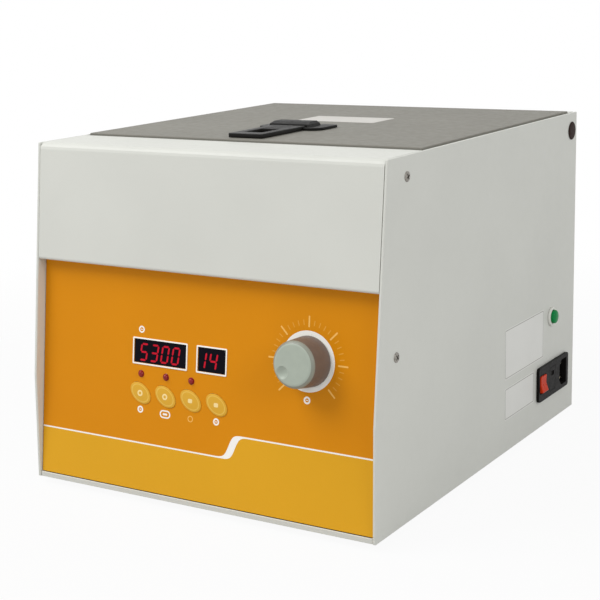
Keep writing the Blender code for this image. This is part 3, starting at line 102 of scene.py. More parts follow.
def length_of(tree, vector):
    made = tree.nodes.new("ShaderNodeVectorMath")
    made.operation = "LENGTH"
    tree.links.new(vector, made.inputs[0])
    return made.outputs["Value"]


class Look:
    """A Principled material whose colour, gloss and relief come from textures in object space."""

    def __init__(self, name, **shader):
        self.material = bpy.data.materials.new(name)
        self.material.use_nodes = True
        self.tree = self.material.node_tree
        self.shader = self.tree.nodes["Principled BSDF"]
        for socket, value in shader.items():
            self.shader.inputs[socket.replace("_", " ")].default_value = value
        self.place = self.node("ShaderNodeTexCoord").outputs["Object"]
        self.height = None
        LOOKS[name] = self.material

    def node(self, kind, links=None, **values):
        made = self.tree.nodes.new(kind)
        for socket, value in values.items():
            made.inputs[socket.replace("_", " ")].default_value = value
        for socket, source in (links or {}).items():
            self.tree.links.new(source, made.inputs[socket])
        return made

    def stretched(self, scale, shift=(0, 0, 0)):
        made = self.node("ShaderNodeMapping", {"Vector": self.place}, Scale=scale, Location=shift)
        return made.outputs["Vector"]

    def noise(self, size, detail=2.0, place=None, rough=0.5):
        """Soft noise whose blotches are about that size, in metres."""
        source = {"Vector": place or self.place}
        made = self.node("ShaderNodeTexNoise", source, Scale=1 / size, Detail=detail, Roughness=rough)
        return made.outputs["Fac"]

    def cells(self, size):
        return self.node("ShaderNodeTexVoronoi", {"Vector": self.place}, Scale=1 / size).outputs["Distance"]

    def rings(self, size, centre_y):
        """Fine noise in rings round an upright axis, both across a face and up a wall."""
        radius = length_of(self.tree, self.stretched(scale=(1, 1, 0), shift=(0, -centre_y, 0)))
        parts = self.node("ShaderNodeSeparateXYZ", {"Vector": self.place})
        along = maths(self.tree, "ADD", radius, parts.outputs["Z"])
        made = self.node("ShaderNodeTexNoise", Scale=1 / size, Detail=3)
        made.noise_dimensions = "1D"
        self.tree.links.new(along, made.inputs["W"])
        return made.outputs["Fac"]

    def spread(self, source, low, high, start=0.3, end=0.7):
        limits = {"From_Min": start, "From_Max": end, "To_Min": low, "To_Max": high}
        return self.node("ShaderNodeMapRange", {"Value": source}, **limits).outputs["Result"]

    def mix(self, share, first, second):
        """One colour or the other, by a share from 0 to 1. A colour is a tuple or a socket."""
        made = self.node("ShaderNodeMix")
        made.data_type = "RGBA"
        self.tree.links.new(share, made.inputs["Factor"])
        for number, colour in ((MIX_FIRST, first), (MIX_SECOND, second)):
            if isinstance(colour, tuple):
                made.inputs[number].default_value = (*colour, 1)
            else:
                self.tree.links.new(colour, made.inputs[number])
        return made.outputs[MIX_RESULT]

    def paint(self, colour, source, vary):
        """The base colour, a little darker and lighter than written."""
        dark = tuple(c * (1 - vary) for c in colour)
        light = tuple(min(1, c * (1 + vary)) for c in colour)
        self.colour(self.mix(self.spread(source, 0, 1), dark, light))
        self.material.diffuse_color = (*colour, 1)

    def colour(self, source):
        self.tree.links.new(source, self.shader.inputs["Base Color"])

    def gloss(self, source, low, high):
        self.tree.links.new(self.spread(source, low, high), self.shader.inputs["Roughness"])

    def relief(self, source, depth, strength):
        """Bumps of that depth, in metres, on top of any made before."""
        made = self.node("ShaderNodeBump", {"Height": source}, Distance=depth, Strength=strength)
        if self.height is not None:
            self.tree.links.new(self.height, made.inputs["Normal"])
        self.height = made.outputs["Normal"]
        self.tree.links.new(self.height, self.shader.inputs["Normal"])


def powder_coat(name, colour, peel=1.6 * MM, depth=0.05 * MM, vary=0.02, rough=(0.38, 0.5), shine=0.3):
    """Baked powder: orange peel with a finer speckle, and a slow drift of tone."""
    look = Look(name, Specular_IOR_Level=shine)
    look.paint(colour, look.noise(90 * MM, 3), vary)
    look.gloss(look.noise(6 * MM), *rough)
    look.relief(look.noise(peel, 1), depth, 0.5)
    look.relief(look.noise(0.45 * MM, 1), depth / 4, 0.5)


def moulded(name, colour, grain=0.5 * MM, depth=0.03 * MM, vary=0.06, rough=(0.38, 0.52), **shader):
    """Moulded plastic with a spark-eroded grain."""
    look = Look(name, **shader)
    look.paint(colour, look.noise(7 * MM, 3), vary)
    look.gloss(look.noise(2.5 * MM), *rough)
    look.relief(look.cells(grain), depth, 0.6)


def brushed(name, colour, along=(1, 40, 40), rough=(0.35, 0.41), depth=0.012 * MM):
    """Rolled sheet with fine lines along X, or bar that is finely scratched all over."""
    look = Look(name, Metallic=1.0)
    lines = look.noise(12 * MM, 4, look.stretched(scale=along), 0.6)
    look.paint(colour, lines, 0.09)
    look.gloss(look.noise(25 * MM, 3), *rough)
    look.relief(lines, depth, 0.6)


def lathe_cut(name, colour, pitch=0.6 * MM, rough=(0.3, 0.37), depth=0.02 * MM):
    """Metal with the fine rings that spinning or turning leaves round the rotor's axis."""
    look = Look(name, Metallic=1.0)
    grooves = look.rings(pitch, ROTOR_Y)
    look.paint(colour, grooves, 0.07)
    look.gloss(look.noise(18 * MM, 3), *rough)
    look.relief(grooves, depth, 0.5)


def rubber(name, colour):
    look = Look(name, Specular_IOR_Level=0.35)
    look.paint(colour, look.noise(5 * MM, 3), 0.2)
    look.gloss(look.noise(1.5 * MM), 0.68, 0.85)
    look.relief(look.noise(0.6 * MM, 3), 0.06 * MM, 0.6)


def printed(name, colour, vary=0.015):
    """Ink on the back of a velvet-textured film, so the colour is even and the face softly grained."""
    look = Look(name, Specular_IOR_Level=0.12)
    look.paint(colour, look.noise(70 * MM, 2), vary)
    look.gloss(look.noise(4 * MM), 0.34, 0.44)
    look.relief(look.cells(0.35 * MM), 0.012 * MM, 0.5)


def clear_cast(name, colour, patch, vary, bloom, rough, **shader):
    """Clear or glowing plastic with a smooth face: patches of tone, and a slow change of gloss."""
    look = Look(name, **shader)
    look.paint(colour, look.noise(patch, 2), vary)
    look.gloss(look.noise(bloom), *rough)


def paper(name, colour, vary, rough, **shader):
    """A label's coated face."""
    look = Look(name, **shader)
    look.paint(colour, look.noise(30 * MM, 2), vary)
    look.gloss(look.noise(8 * MM), *rough)
    look.relief(look.noise(1.2 * MM, 2), 0.01 * MM, 0.4)


def plated(name, colour):
    """Dull zinc on a small fastener."""
    look = Look(name, Metallic=1.0)
    look.paint(colour, look.noise(1.5 * MM, 3), 0.25)
    look.gloss(look.noise(1 * MM), 0.25, 0.42)
    look.relief(look.noise(0.3 * MM, 2), 0.01 * MM, 0.5)


def lacquered_board(name, track, dark, light):
    """A circuit board: raised tracks under a lacquer."""
    look = Look(name, Roughness=0.4)
    tracks = look.spread(look.cells(5 * MM), 0, 1, 0.28, 0.34)
    look.colour(look.mix(tracks, track, look.mix(look.noise(20 * MM), dark, light)))
    look.gloss(look.noise(3 * MM), 0.3, 0.45)
    look.relief(tracks, 0.03 * MM, 0.5)


def make_looks():
    """Every material of the part."""
    # Painted and printed
    powder_coat("case_paint", shade_of(213, 214, 207))
    powder_coat("lid_paint", shade_of(131, 129, 121), 0.9 * MM, 0.07 * MM, 0.035, (0.5, 0.62), 0.15)
    powder_coat("motor_paint", (0.045, 0.05, 0.06), 1.2 * MM, 0.06 * MM, 0.1)
    printed("overlay_print", shade_of(220, 140, 10))
    printed("yellow_print", shade_of(227, 168, 36))
    printed("white_print", shade_of(252, 250, 244))
    printed("cream_print", shade_of(250, 196, 104))
    printed("faint_print", shade_of(232, 166, 62))
    printed("key_film", shade_of(224, 172, 58))
    printed("key_rim", shade_of(236, 192, 88))
    printed("key_print", shade_of(250, 224, 160))
    printed("label_rule", shade_of(168, 167, 160), 0.05)
    paper("label_paper", shade_of(226, 226, 221), 0.012, (0.4, 0.5))
    paper("lid_sticker", shade_of(206, 203, 197), 0.02, (0.45, 0.55), Specular_IOR_Level=0.2)
    # Metal
    brushed("sheet_steel", (0.47, 0.47, 0.48), rough=(0.42, 0.48))
    brushed("turned_steel", (0.52, 0.52, 0.54), (40, 40, 40), (0.2, 0.32))
    brushed("pin_brass", (0.74, 0.66, 0.46), (8, 40, 40), (0.2, 0.34))
    lathe_cut("spun_steel", (0.62, 0.62, 0.63))
    lathe_cut("cast_aluminium", (0.47, 0.48, 0.50), 0.9 * MM, (0.42, 0.5))
    plated("screw_steel", (0.26, 0.245, 0.22))
    # Plastic and rubber
    rubber("black_rubber", (0.02, 0.02, 0.021))
    moulded("black_plastic", shade_of(22, 21, 19), Specular_IOR_Level=0.16)
    moulded("inlet_black", shade_of(25, 24, 23), Specular_IOR_Level=0.05)
    moulded("cap_black", shade_of(46, 32, 27), Specular_IOR_Level=0.04)
    fine, shallow = 0.6 * MM, 0.02 * MM
    moulded("knob_plastic", shade_of(169, 178, 165), fine, shallow, 0.03)
    # A darker copy of the knob's plastic: painted shade on the rounded edge of its cap
    moulded("knob_edge_painted_shade", shade_of(140, 143, 131), fine, shallow, 0.04)
    # A darker, browner copy of the knob's plastic: painted shade and orange bounce light on the knob's side
    moulded("knob_side_painted_shade", shade_of(108, 98, 92), fine, shallow, 0.06)
    moulded("bezel_plastic", shade_of(226, 226, 219), fine, shallow, 0.02)
    smooth, faint = 0.7 * MM, 0.01 * MM
    moulded("rocker_red", shade_of(202, 52, 12), smooth, faint, 0.08, (0.25, 0.35), Specular_IOR_Level=0.07)
    moulded("reset_green", shade_of(2, 134, 68), smooth, faint, 0.06, (0.16, 0.24), Specular_IOR_Level=0.14)
    clear_cast(
        "led_lens", shade_of(140, 12, 18), 1.6 * MM, 0.25, 1 * MM, (0.05, 0.1),
        Roughness=0.12, Specular_IOR_Level=0.35,
    )
    clear_cast(
        "display_glass", shade_of(14, 13, 22), 9 * MM, 0.2, 12 * MM, (0.16, 0.26),
        Roughness=0.2, Specular_IOR_Level=0.04,
    )
    clear_cast(
        "display_digits", shade_of(150, 18, 34), 3 * MM, 0.2, 2 * MM, (0.3, 0.4),
        Roughness=0.35, Specular_IOR_Level=0.05,
        Emission_Strength=0.5, Emission_Color=(*shade_of(196, 26, 46), 1),
    )
    lacquered_board("circuit_board", (0.03, 0.22, 0.09), (0.012, 0.11, 0.04), (0.02, 0.16, 0.06))


# Forms


ON_AXIS = 1e-9  # a smaller radius is a point on the axis
SEAM = 0.001 * MM  # reach that closes a slab's seams
WELD_REACH = 0.005 * MM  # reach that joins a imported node's split corners
SHARP = 35  # edges over this angle, in degrees, stay sharp


def lathe(profile, steps=64, closed=False):
    """A profile of (radius, height) points turned about Z."""
    bm = bmesh.new()
    turns = [2 * math.pi * i / steps for i in range(steps)]
    rings = []
    for radius, height in profile:
        if radius < ON_AXIS:
            rings.append([bm.verts.new((0, 0, height))])
        else:
            rings.append([bm.verts.new((radius * math.cos(a), radius * math.sin(a), height)) for a in turns])
    pairs = list(zip(rings, rings[1:]))
    if closed:
        pairs.append((rings[-1], rings[0]))
    for upper, lower in pairs:
        for i in range(steps):
            j = (i + 1) % steps
            around = [
                upper[i % len(upper)],
                lower[i % len(lower)],
                lower[j % len(lower)],
                upper[j % len(upper)],
            ]
            corners = list(dict.fromkeys(around))
            if len(corners) > 2:
                bm.faces.new(corners)
    bmesh.ops.recalc_face_normals(bm, faces=bm.faces)
    return bm


def evaluated_mesh(made):
    return bpy.data.meshes.new_from_object(made.evaluated_get(bpy.context.evaluated_depsgraph_get()))


def add_object(name, data):
    made = bpy.data.objects.new(name, data)
    bpy.context.scene.collection.objects.link(made)
    return made


def slab(loops, low, high, rounding=0.0):
    """A plate between two heights with rounded edges: the first loop is its outline, the others holes."""
    curve = bpy.data.curves.new("outline", "CURVE")
    curve.dimensions = "2D"
    curve.fill_mode = "BOTH"
    curve.extrude = (high - low) / 2 - rounding
    curve.bevel_depth = rounding
    curve.bevel_resolution = 2
    curve.offset = -rounding
    for loop in loops:
        spline = curve.splines.new("POLY")
        spline.points.add(len(loop) - 1)
        spline.use_cyclic_u = True
        for point, place in zip(spline.points, loop):
            point.co = (place[0], place[1], 0, 1)
    guide = add_object("outline", curve)
    mesh = evaluated_mesh(guide)
    bpy.data.objects.remove(guide)
    bpy.data.curves.remove(curve)
    bm = bmesh.new()
    bm.from_mesh(mesh)
    bpy.data.meshes.remove(mesh)
    bmesh.ops.remove_doubles(bm, verts=bm.verts, dist=SEAM)
    bmesh.ops.translate(bm, verts=bm.verts, vec=(0, 0, (low + high) / 2))
    bmesh.ops.recalc_face_normals(bm, faces=bm.faces)
    return bm


def block(low, high):
    """A box between two corners."""
    size = [b - a for a, b in zip(low, high)]
    middle = [(a + b) / 2 for a, b in zip(low, high)]
    bm = bmesh.new()
    bmesh.ops.create_cube(bm, matrix=Matrix.Translation(middle) @ Matrix.Diagonal((*size, 1)))
    return bm


def gather(parts):
    """Several forms as one, each as it lies or in a pair with its place."""
    whole = bmesh.new()
    for part in parts:
        bm, place = part if isinstance(part, tuple) else (part, FLAT)
        bm.transform(place)
        mesh = bpy.data.meshes.new("gathered")
        bm.to_mesh(mesh)
        bm.free()
        whole.from_mesh(mesh)
        bpy.data.meshes.remove(mesh)
    return whole


def finish_mesh(name, bm, place=FLAT, sharp=SHARP):
    """A form at its place, as a mesh that is smooth between its sharp edges."""
    bm.transform(place)
    limit = math.radians(sharp)
    for face in bm.faces:
        face.smooth = True
    for edge in bm.edges:
        edge.smooth = len(edge.link_faces) == 2 and edge.calc_face_angle(0) < limit
    mesh = bpy.data.meshes.new(name)
    bm.to_mesh(mesh)
    bm.free()
    return mesh


def cut(bm, cutter):
    """One form with another taken out of it."""
    pair = []
    for part in (bm, cutter):
        mesh = bpy.data.meshes.new("cutting")
        part.to_mesh(mesh)
        part.free()
        pair.append(add_object("cutting", mesh))
    body, tool = pair
    step = body.modifiers.new("cut", "BOOLEAN")
    step.object = tool
    step.solver = "EXACT"
    mesh = evaluated_mesh(body)
    result = bmesh.new()
    result.from_mesh(mesh)
    for part in pair:
        old = part.data
        bpy.data.objects.remove(part)
        bpy.data.meshes.remove(old)
    bpy.data.meshes.remove(mesh)
    return result


def piece(name, bm, look, body, place=FLAT, stands_for=(), sharp=SHARP):
    """Adds a form to the scene with its material, the body it rides on and the nodes it replaces."""
    made = add_object(name, finish_mesh(name, bm, place, sharp))
    made.data.materials.append(LOOKS[look])
    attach(made, body)
    if stands_for:
        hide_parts(*stands_for)
    return made


def circle(x, y, radius, steps=48):
    turns = [2 * math.pi * i / steps for i in range(steps)]
    return [(x + radius * math.cos(a), y + radius * math.sin(a)) for a in turns]


def rounded(x, y, width, height, radius, steps=8):
    """A rectangle about a middle, with its corners as arcs."""
    outline = []
    for turn, (sx, sy) in enumerate(((1, 1), (-1, 1), (-1, -1), (1, -1))):
        cx = x + sx * (width / 2 - radius)
        cy = y + sy * (height / 2 - radius)
        for i in range(steps + 1):
            a = math.pi / 2 * (turn + i / steps)
            outline.append((cx + radius * math.cos(a), cy + radius * math.sin(a)))
    return outline


def arc(cx, cy, radius, first, last, steps=8):
    """Points on an arc, its angles in degrees."""
    turns = [math.radians(first + (last - first) * i / steps) for i in range(steps + 1)]
    return [(cx + radius * math.cos(a), cy + radius * math.sin(a)) for a in turns]


# Case


SOFT_EDGES = {  # the width of the rounds on nodes that are shown as they are packed, in mm
    "side_panel_left": 0.6,
    "side_panel_right": 0.6,
    "front_cowl": 0.3,
    "rear_panel": 0.4,
    "lid_panel": 0.5,
    "lid_strip": 0.4,
    "base_plate": 0.4,
    "power_inlet": 0.5,
    "power_rocker": 0.4,
    "fuse_drawer": 0.3,
}
SIDE_SCREWS = ((344.6, 269.2), (364.5, 136.2))  # ahead of the back and above the case's foot, in mm
REAR_COLUMNS, REAR_ROWS = (-150, 150), (18, 130, 248)  # the rear screws, in mm


def paint_nodes():
    """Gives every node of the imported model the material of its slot, or one of its own."""
    own = {"power_inlet": "inlet_black", "fuse_drawer": "inlet_black"}
    for entry in frame["record"]["subparts"]:
        node = NODES[entry["node"]]
        look = LOOKS[own.get(entry["node"], entry["material_slot"])]
        if node.material_slots:
            for slot in node.material_slots:
                slot.material = look
        else:
            node.data.materials.append(look)


def join_corners(node):
    joined = node.modifiers.new("joined_corners", "WELD")
    joined.merge_threshold = WELD_REACH


def soften_edges():
    """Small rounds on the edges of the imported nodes."""
    for name, width in SOFT_EDGES.items():
        node = NODES[name]
        join_corners(node)
        flat = node.modifiers.new("flat_faces", "DECIMATE")
        flat.decimate_type = "DISSOLVE"
        flat.angle_limit = math.radians(1)
        soft = node.modifiers.new("soft_edges", "BEVEL")
        soft.width = width * MM
        soft.segments = 3
        soft.limit_method = "ANGLE"
        soft.angle_limit = math.radians(40)


def with_cross(head, reach, half, low, high):
    """A screw head with a cross recess between two heights."""
    outline = []
    for turn in range(4):
        about = Matrix.Rotation(turn * math.pi / 2, 2)
        outline += [about @ Vector(corner) for corner in ((reach, -half), (reach, half), (half, half))]
    return cut(head, slab([outline], low, high))


def pan_head():
    """A low round screw head that stands on Z = 0."""
    radius, rise, depth, slot, steps = 4.0 * MM, 1.15 * MM, 0.9 * MM, 0.55 * MM, 8
    angles = [math.pi / 2 * i / steps for i in range(steps + 1)]
    crown = [(radius * math.sin(a), rise * (0.35 + 0.65 * math.cos(a))) for a in angles]
    head = lathe([*crown, (radius, 0), (0, 0)], 40)
    return with_cross(head, 0.6 * radius, slot, rise - depth, rise + MM)


def flat_head():
    """A countersunk screw head with its face at Z = 0."""
    radius, stem, depth, slot, edge = 3.4 * MM, 1.6 * MM, 1.1 * MM, 0.5 * MM, -0.3 * MM
    taper = edge + stem - radius
    head = lathe([(0, 0), (radius, 0), (radius, edge), (stem, taper), (0, taper)], 40)
    return with_cross(head, 0.6 * radius, slot, -depth, MM)


def make_screws():
    """Low heads on the side panels, and countersunk ones in the rear panel."""
    sides = []
    for back, up in SIDE_SCREWS:
        sides.append(RIGHT_SIDE @ Matrix.Translation((-back * MM, up * MM, 0)))
        sides.append(LEFT_SIDE @ Matrix.Translation((back * MM, up * MM, 0)))
    heads = [(pan_head(), place @ Matrix.Rotation(0.4 + i, 4, "Z")) for i, place in enumerate(sides)]
    piece("case_screws", gather(heads), "screw_steel", "case")
    face = Matrix.Translation((0, BACK_Y, 0)) @ Matrix.Rotation(-math.pi / 2, 4, "X")
    rear = [face @ Matrix.Translation((x * MM, -z * MM, 0)) for x in REAR_COLUMNS for z in REAR_ROWS]
    sunk = Matrix.Translation((0, 0, -0.2 * MM))
    heads = [(flat_head(), place @ sunk @ Matrix.Rotation(i, 4, "Z")) for i, place in enumerate(rear)]
    piece("rear_screws", gather(heads), "screw_steel", "case")
    mouth, bore, above, cone, through = 4.9 * MM, 1.9 * MM, MM, -2.0 * MM, -8 * MM
    sink = [(0, above), (mouth, above), (bore, cone), (bore, through), (0, through)]
    holes = finish_mesh("rear_sinks", gather([(lathe(sink, 40), place) for place in rear]))
    cutter = bpy.data.objects.new("rear_sinks", holes)
    cutter.hide_render = True
    cutter.display_type = "WIRE"
    cutters = bpy.data.collections.new("cutters")
    bpy.context.scene.collection.children.link(cutters)
    cutters.objects.link(cutter)
    join_corners(NODES["rear_panel"])
    drill = NODES["rear_panel"].modifiers.new("countersinks", "BOOLEAN")
    drill.object = cutter
    drill.solver = "EXACT"


# Control fascia, in its own plane: X across, Y up the slope, Z out


INK = 0.06 * MM
KNOB_X, KNOB_Y = 100.2 * MM, 126.3 * MM
KEY_ROW, LED_ROW = 81.4 * MM, 97.5 * MM
FIRST_KEY, KEY_PITCH = -58.5, 25.2  # in mm
KEYS = ("start", "stop", "down", "up")
RING_ICONS = (  # x, y, outer and inner radius, in mm
    (-59, 134, 2.9, 1.7),
    (-58.5, 67.8, 2.9, 1.6),
    (17.1, 67.8, 2.9, 1.6),
    (100.2, 96.2, 3.0, 1.6),
)
SEGMENTS = {
    "a": ((0, 2), (1, 2)),
    "b": ((1, 2), (1, 1)),
    "c": ((1, 1), (1, 0)),
    "d": ((0, 0), (1, 0)),
    "e": ((0, 1), (0, 0)),
    "f": ((0, 2), (0, 1)),
    "g": ((0, 1), (1, 1)),
}
FIGURES = {"0": "abcdef", "1": "bc", "3": "abcdg", "4": "bcfg", "5": "acdfg"}
READINGS = (("5300", -60.6), ("14", -2.6))  # what each display shows, and where it starts, in mm


def print_on(name, form, ink, place=FASCIA):
    piece(name, form, ink, "case", place)


def in_row(number, height):
    """The place of a key or a status light in its row."""
    return FASCIA @ Matrix.Translation(((FIRST_KEY + KEY_PITCH * number) * MM, height, 0))


def make_print():
    """The yellow field, the pale line above it with its step, and the pale disc round the knob."""
    half = (FILM_HIGH.x - FILM_LOW.x) / 2 - 0.2 * MM
    low, high, thin, soft = 39.8 * MM, 59.0 * MM, 0.6 * MM, 3.9 * MM
    start, run, count = 12, 42, 60
    upper_step, lower_step = 29.6 * MM, 35.8 * MM

    def step(x, middle):
        return low + (high - low) * (0.5 + 0.5 * math.tanh((x - middle) / soft))

    rise = [(start + run * i / count) * MM for i in range(count + 1)]
    upper = [(-half, low + thin), *((x, step(x, upper_step) + thin) for x in rise), (half, high + thin)]
    lower = [(-half, low - thin), *((x, step(x, lower_step) - thin) for x in rise), (half, high - thin)]
    field = [*lower, (half, CLEAR), (-half, CLEAR)]
    print_on("yellow_field", slab([field[::-1]], 0, INK), "yellow_print")
    line = slab([[*lower, *upper[::-1]]], 0, 1.6 * INK)
    disc = slab([circle(99.6 * MM, 126.1 * MM, 23.7 * MM, 96), circle(KNOB_X, KNOB_Y, 7 * MM)], 0, INK)
    print_on("white_print", gather([line, disc]), "white_print")


def make_scale():
    """Ticks round the knob: a long one every 45 degrees, with four short ones between."""
    about = FASCIA @ Matrix.Translation((99.5 * MM, 125.8 * MM, 0))
    count, first, step, every = 31, 135, 9, 5
    sizes = {True: (26.6, 35.4, 1.3), False: (28.2, 32.4, 0.8)}  # both ends and the width, in mm
    ticks = {True: [], False: []}
    for i in range(count):
        major = i % every == 0
        start, end, wide = sizes[major]
        outline = rounded(0, (start + end) / 2 * MM, wide * MM, (end - start) * MM, wide / 3 * MM, 3)
        turn = Matrix.Rotation(math.radians(first - step * i), 4, "Z")
        ticks[major].append((slab([outline], 0, INK), turn))
    print_on("scale_long", gather(ticks[True]), "cream_print", about)
    print_on("scale_short", gather(ticks[False]), "faint_print", about)


def make_icons():
    """Small generic marks beside the keys, the display and the knob."""

    def ring(x, y, outer, inner):
        return slab([circle(x * MM, y * MM, outer * MM), circle(x * MM, y * MM, inner * MM)], 0, INK)

    def dash(x, y, width, height, radius, steps=8):
        return rounded(x * MM, y * MM, width * MM, height * MM, radius * MM, steps)

    marks = [ring(*sizes) for sizes in RING_ICONS]
    marks += [slab([dash(x, y, 2.0, 0.7, 0.3, 3)], 0, INK) for x, y, _, _ in RING_ICONS]
    pill = -33.3, 66.9
    marks.append(slab([dash(*pill, 10.6, 6.6, 3.2), dash(*pill, 8.4, 4.4, 2.1)], 0, INK))
    marks.append(slab([dash(*pill, 4.6, 1.6, 0.7)], 0, INK))
    print_on("print_icons", gather(marks), "white_print")
    print_on("print_icon_faint", ring(-8.1, 66.6, 2.6, 1.9), "cream_print")


def make_display_frames():
    """The pale frame round each display window."""
    frames = []
    for x, width in ((-40.0, 51.7), (11.0, 26.2)):
        inner = rounded(x * MM, 116.2 * MM, (width + 0.7) * MM, 19.7 * MM, 0.4 * MM, 3)
        outer = rounded(x * MM, 116.15 * MM, (width + 3.2) * MM, 22.2 * MM, 1.0 * MM, 6)
        frames.append(slab([outer, inner], 0, 0.5 * MM, 0.18 * MM))
    piece("display_frames", gather(frames), "white_print", "case", FASCIA)


def make_digits():
    """Seven-segment figures, slanted, just in front of each window's dark face."""
    width, height, thick, slant = 6.2 * MM, 13.2 * MM, 0.78 * MM, math.tan(math.radians(9))
    pitch, foot, apart = 10.6, 108.9 * MM, 0.3 * MM
    back, front = -0.39 * MM, -0.33 * MM

    def bar(start, end, x):
        start = Vector((start[0] * width, start[1] * height / 2))
        end = Vector((end[0] * width, end[1] * height / 2))
        along = (end - start).normalized()
        aside, tip = Vector((-along.y, along.x)) * thick, along * thick
        start, end = start + along * apart, end - along * apart
        outline = [start, start + tip - aside, end - tip - aside, end, end - tip + aside, start + tip + aside]
        return [(x + p.x + p.y * slant, foot + p.y) for p in outline]

    lit = []
    for text, first in READINGS:
        for i, figure in enumerate(text):
            for segment in FIGURES[figure]:
                lit.append(slab([bar(*SEGMENTS[segment], (first + i * pitch) * MM)], back, front))
    piece("display_figures", gather(lit), "display_digits", "case", FASCIA)


def make_keys():
    """Four oval keys: a crowned cap with a printed line near its edge and a mark in the middle."""
    long, short, turn = 11.15 * MM, 7.55 * MM, math.radians(-32)
    crown, edge, back, stem, stem_end = 1.04 * MM, 0.4 * MM, -2.3 * MM, 3.5 * MM, -5.0 * MM
    shoulder, steps = 0.96, 16
    oval = Matrix.Rotation(turn, 4, "Z") @ Matrix.Diagonal((1, short / long, 1, 1))

    def at(share, rise=0.0):
        """A point of the crowned face at that share of the radius, or a little above or under it."""
        return long * share, crown - (crown - edge - 0.2 * MM) * share**2 + rise

    face = [at(shoulder * i / steps) for i in range(steps + 1)]
    foot = [(long, edge), (long, back), (stem, back), (stem, stem_end), (0, stem_end)]
    proud, flush = 0.05 * MM, 0.01 * MM
    line = [at(0.76, flush), at(0.78, proud), at(0.83, proud), at(0.85, flush)]
    line += [at(0.85, -proud), at(0.76, -proud)]
    ring = [circle(0, 0, 2.6 * MM), circle(0, 0, 1.2 * MM)]
    spot = [rounded(0, 0, 4.2 * MM, 3.4 * MM, 1.1 * MM)]
    for number, (name, shape) in enumerate(zip(KEYS, (ring, ring, spot, spot))):
        node, body, place = name + "_key", "key_" + name, in_row(number, KEY_ROW)
        cap = lathe([*face, *foot], 96)
        piece(node + "_cap", cap, "key_film", body, place @ oval, (node,))
        piece(node + "_rim", lathe(line, 96, closed=True), "key_rim", body, place @ oval)
        mark = slab(shape, crown - 0.16 * MM, crown + 0.03 * MM)
        piece(node + "_mark", mark, "key_print", body, place)


def make_leds():
    """Round lenses, each with a collar that lies on the film."""
    radius, rise, collar, tail = 2.5 * MM, 2.4 * MM, 2.95 * MM, -9.7 * MM
    steps = 16
    angles = [math.pi / 2 * i / steps for i in range(steps - 1)]
    dome = [(radius * math.sin(a), rise - radius + radius * math.cos(a)) for a in angles]
    brim = [(collar - 0.2 * MM, 0.45 * MM), (collar, 0.3 * MM), (collar, INK), (radius, INK)]
    profile = [*dome, *brim, (radius, tail), (0, tail)]
    for number in range(3):
        node, place = f"status_led_{number + 1}", in_row(number, LED_ROW)
        piece(node + "_lens", lathe(profile, 48), "led_lens", "case", place, (node,))


def make_knob():
    """The speed knob: a smooth cap with a finger dimple on a tapered side, with painted shade on the cap's
    rounded edge, and painted shade and orange bounce light on the side.
    """
    place = FASCIA @ Matrix.Translation((KNOB_X, KNOB_Y, 0))
    height, face, base, lift, turn = 23.63 * MM, 18.4 * MM, 19.8 * MM, 0.8 * MM, 4.0 * MM
    pocket, pocket_top, bore, bore_top = 9.3 * MM, 3.5 * MM, 3.3 * MM, 19.75 * MM
    edge = arc(face - turn, height - turn, turn, 90, 4, 16)
    profile = [(0, height), (face / 2, height), *edge, (base, lift), (pocket, lift), (pocket, pocket_top)]
    profile += [(bore, pocket_top), (bore, bore_top), (0, bore_top)]
    away, angle, ball_radius, depth = 11.0 * MM, math.radians(218), 7.5 * MM, 2.0 * MM
    middle = (away * math.cos(angle), away * math.sin(angle), height + ball_radius - depth)
    ball = bmesh.new()
    bmesh.ops.create_uvsphere(
        ball, u_segments=64, v_segments=64, radius=ball_radius, matrix=Matrix.Translation(middle)
    )
    cap = cut(lathe(profile, 128), ball)
    made = piece("knob_cap", cap, "knob_plastic", "knob", place, ("speed_knob",))
    made.data.materials.append(LOOKS["knob_edge_painted_shade"])
    made.data.materials.append(LOOKS["knob_side_painted_shade"])
    out = place.to_3x3() @ Vector((0, 0, 1))
    # Faces of the side and of the cap's rounded edge take the darker copies of the plastic, which are painted
    # shade
    shade_side_lean, shade_side_top = 0.24, height - 0.3 * turn
    shade_edge_lean, shade_edge_start = 0.88, face - 0.7 * turn
    for polygon in made.data.polygons:
        offset = polygon.center - place.translation
        level, lean = offset.dot(out), abs(polygon.normal.dot(out))
        reach = (offset - level * out).length
        # The side's faces get the painted shade, and the faces of the cap's rounded edge get the lighter
        # painted shade
        if lean < shade_side_lean and level < shade_side_top:
            polygon.material_index = 2
        elif lean < shade_edge_lean and reach > shade_edge_start:
            polygon.material_index = 1


# Reset button, hinge caps and blank labels


SIDE_LABELS = ((-119.7, 88.8, 88, 45.5), (-130.7, 43.8, 66, 29.5))  # middle and size on the right side, in mm


def make_reset():
    """The breaker's button, a round-topped cap on a stem, in its ring."""
    place = RIGHT_SIDE @ Matrix.Translation((-57.2 * MM, 101 * MM, 0))
    radius, rise, wall, travel = 6.2 * MM, 6.4 * MM, 0.8 * MM, 1.5 * MM
    stem, stem_end, steps = 2.5 * MM, -15 * MM, 14
    roof, shoulder = rise - 2 * wall, rise - 3 * wall
    skirt, inside = travel + 2 * CLEAR, radius - wall
    angles = [math.pi / 2 * i / steps for i in range(steps + 1)]
    crown = [(radius * math.sin(a), shoulder + (rise - shoulder) * math.cos(a)) for a in angles]
    button = [*crown, (radius, skirt), (inside, skirt), (inside, roof)]
    button += [(stem, roof), (stem, stem_end), (0, stem_end)]
    piece("reset_cap", lathe(button, 64), "reset_green", "reset", place, ("reset_button",))
    bore, outer, top, soft = radius + CLEAR, 8.7 * MM, 2.2 * MM, 0.3 * MM
    profile = [(bore, CLEAR), (bore, top - soft), *arc(bore + soft, top - soft, soft, 180, 90, 4)]
    profile += [*arc(outer - wall, top - wall, wall, 90, 0, 6), (outer, CLEAR)]
    ring = lathe(profile, 64, closed=True)
    piece("reset_ring", ring, "bezel_plastic", "case", place, ("reset_bezel",))


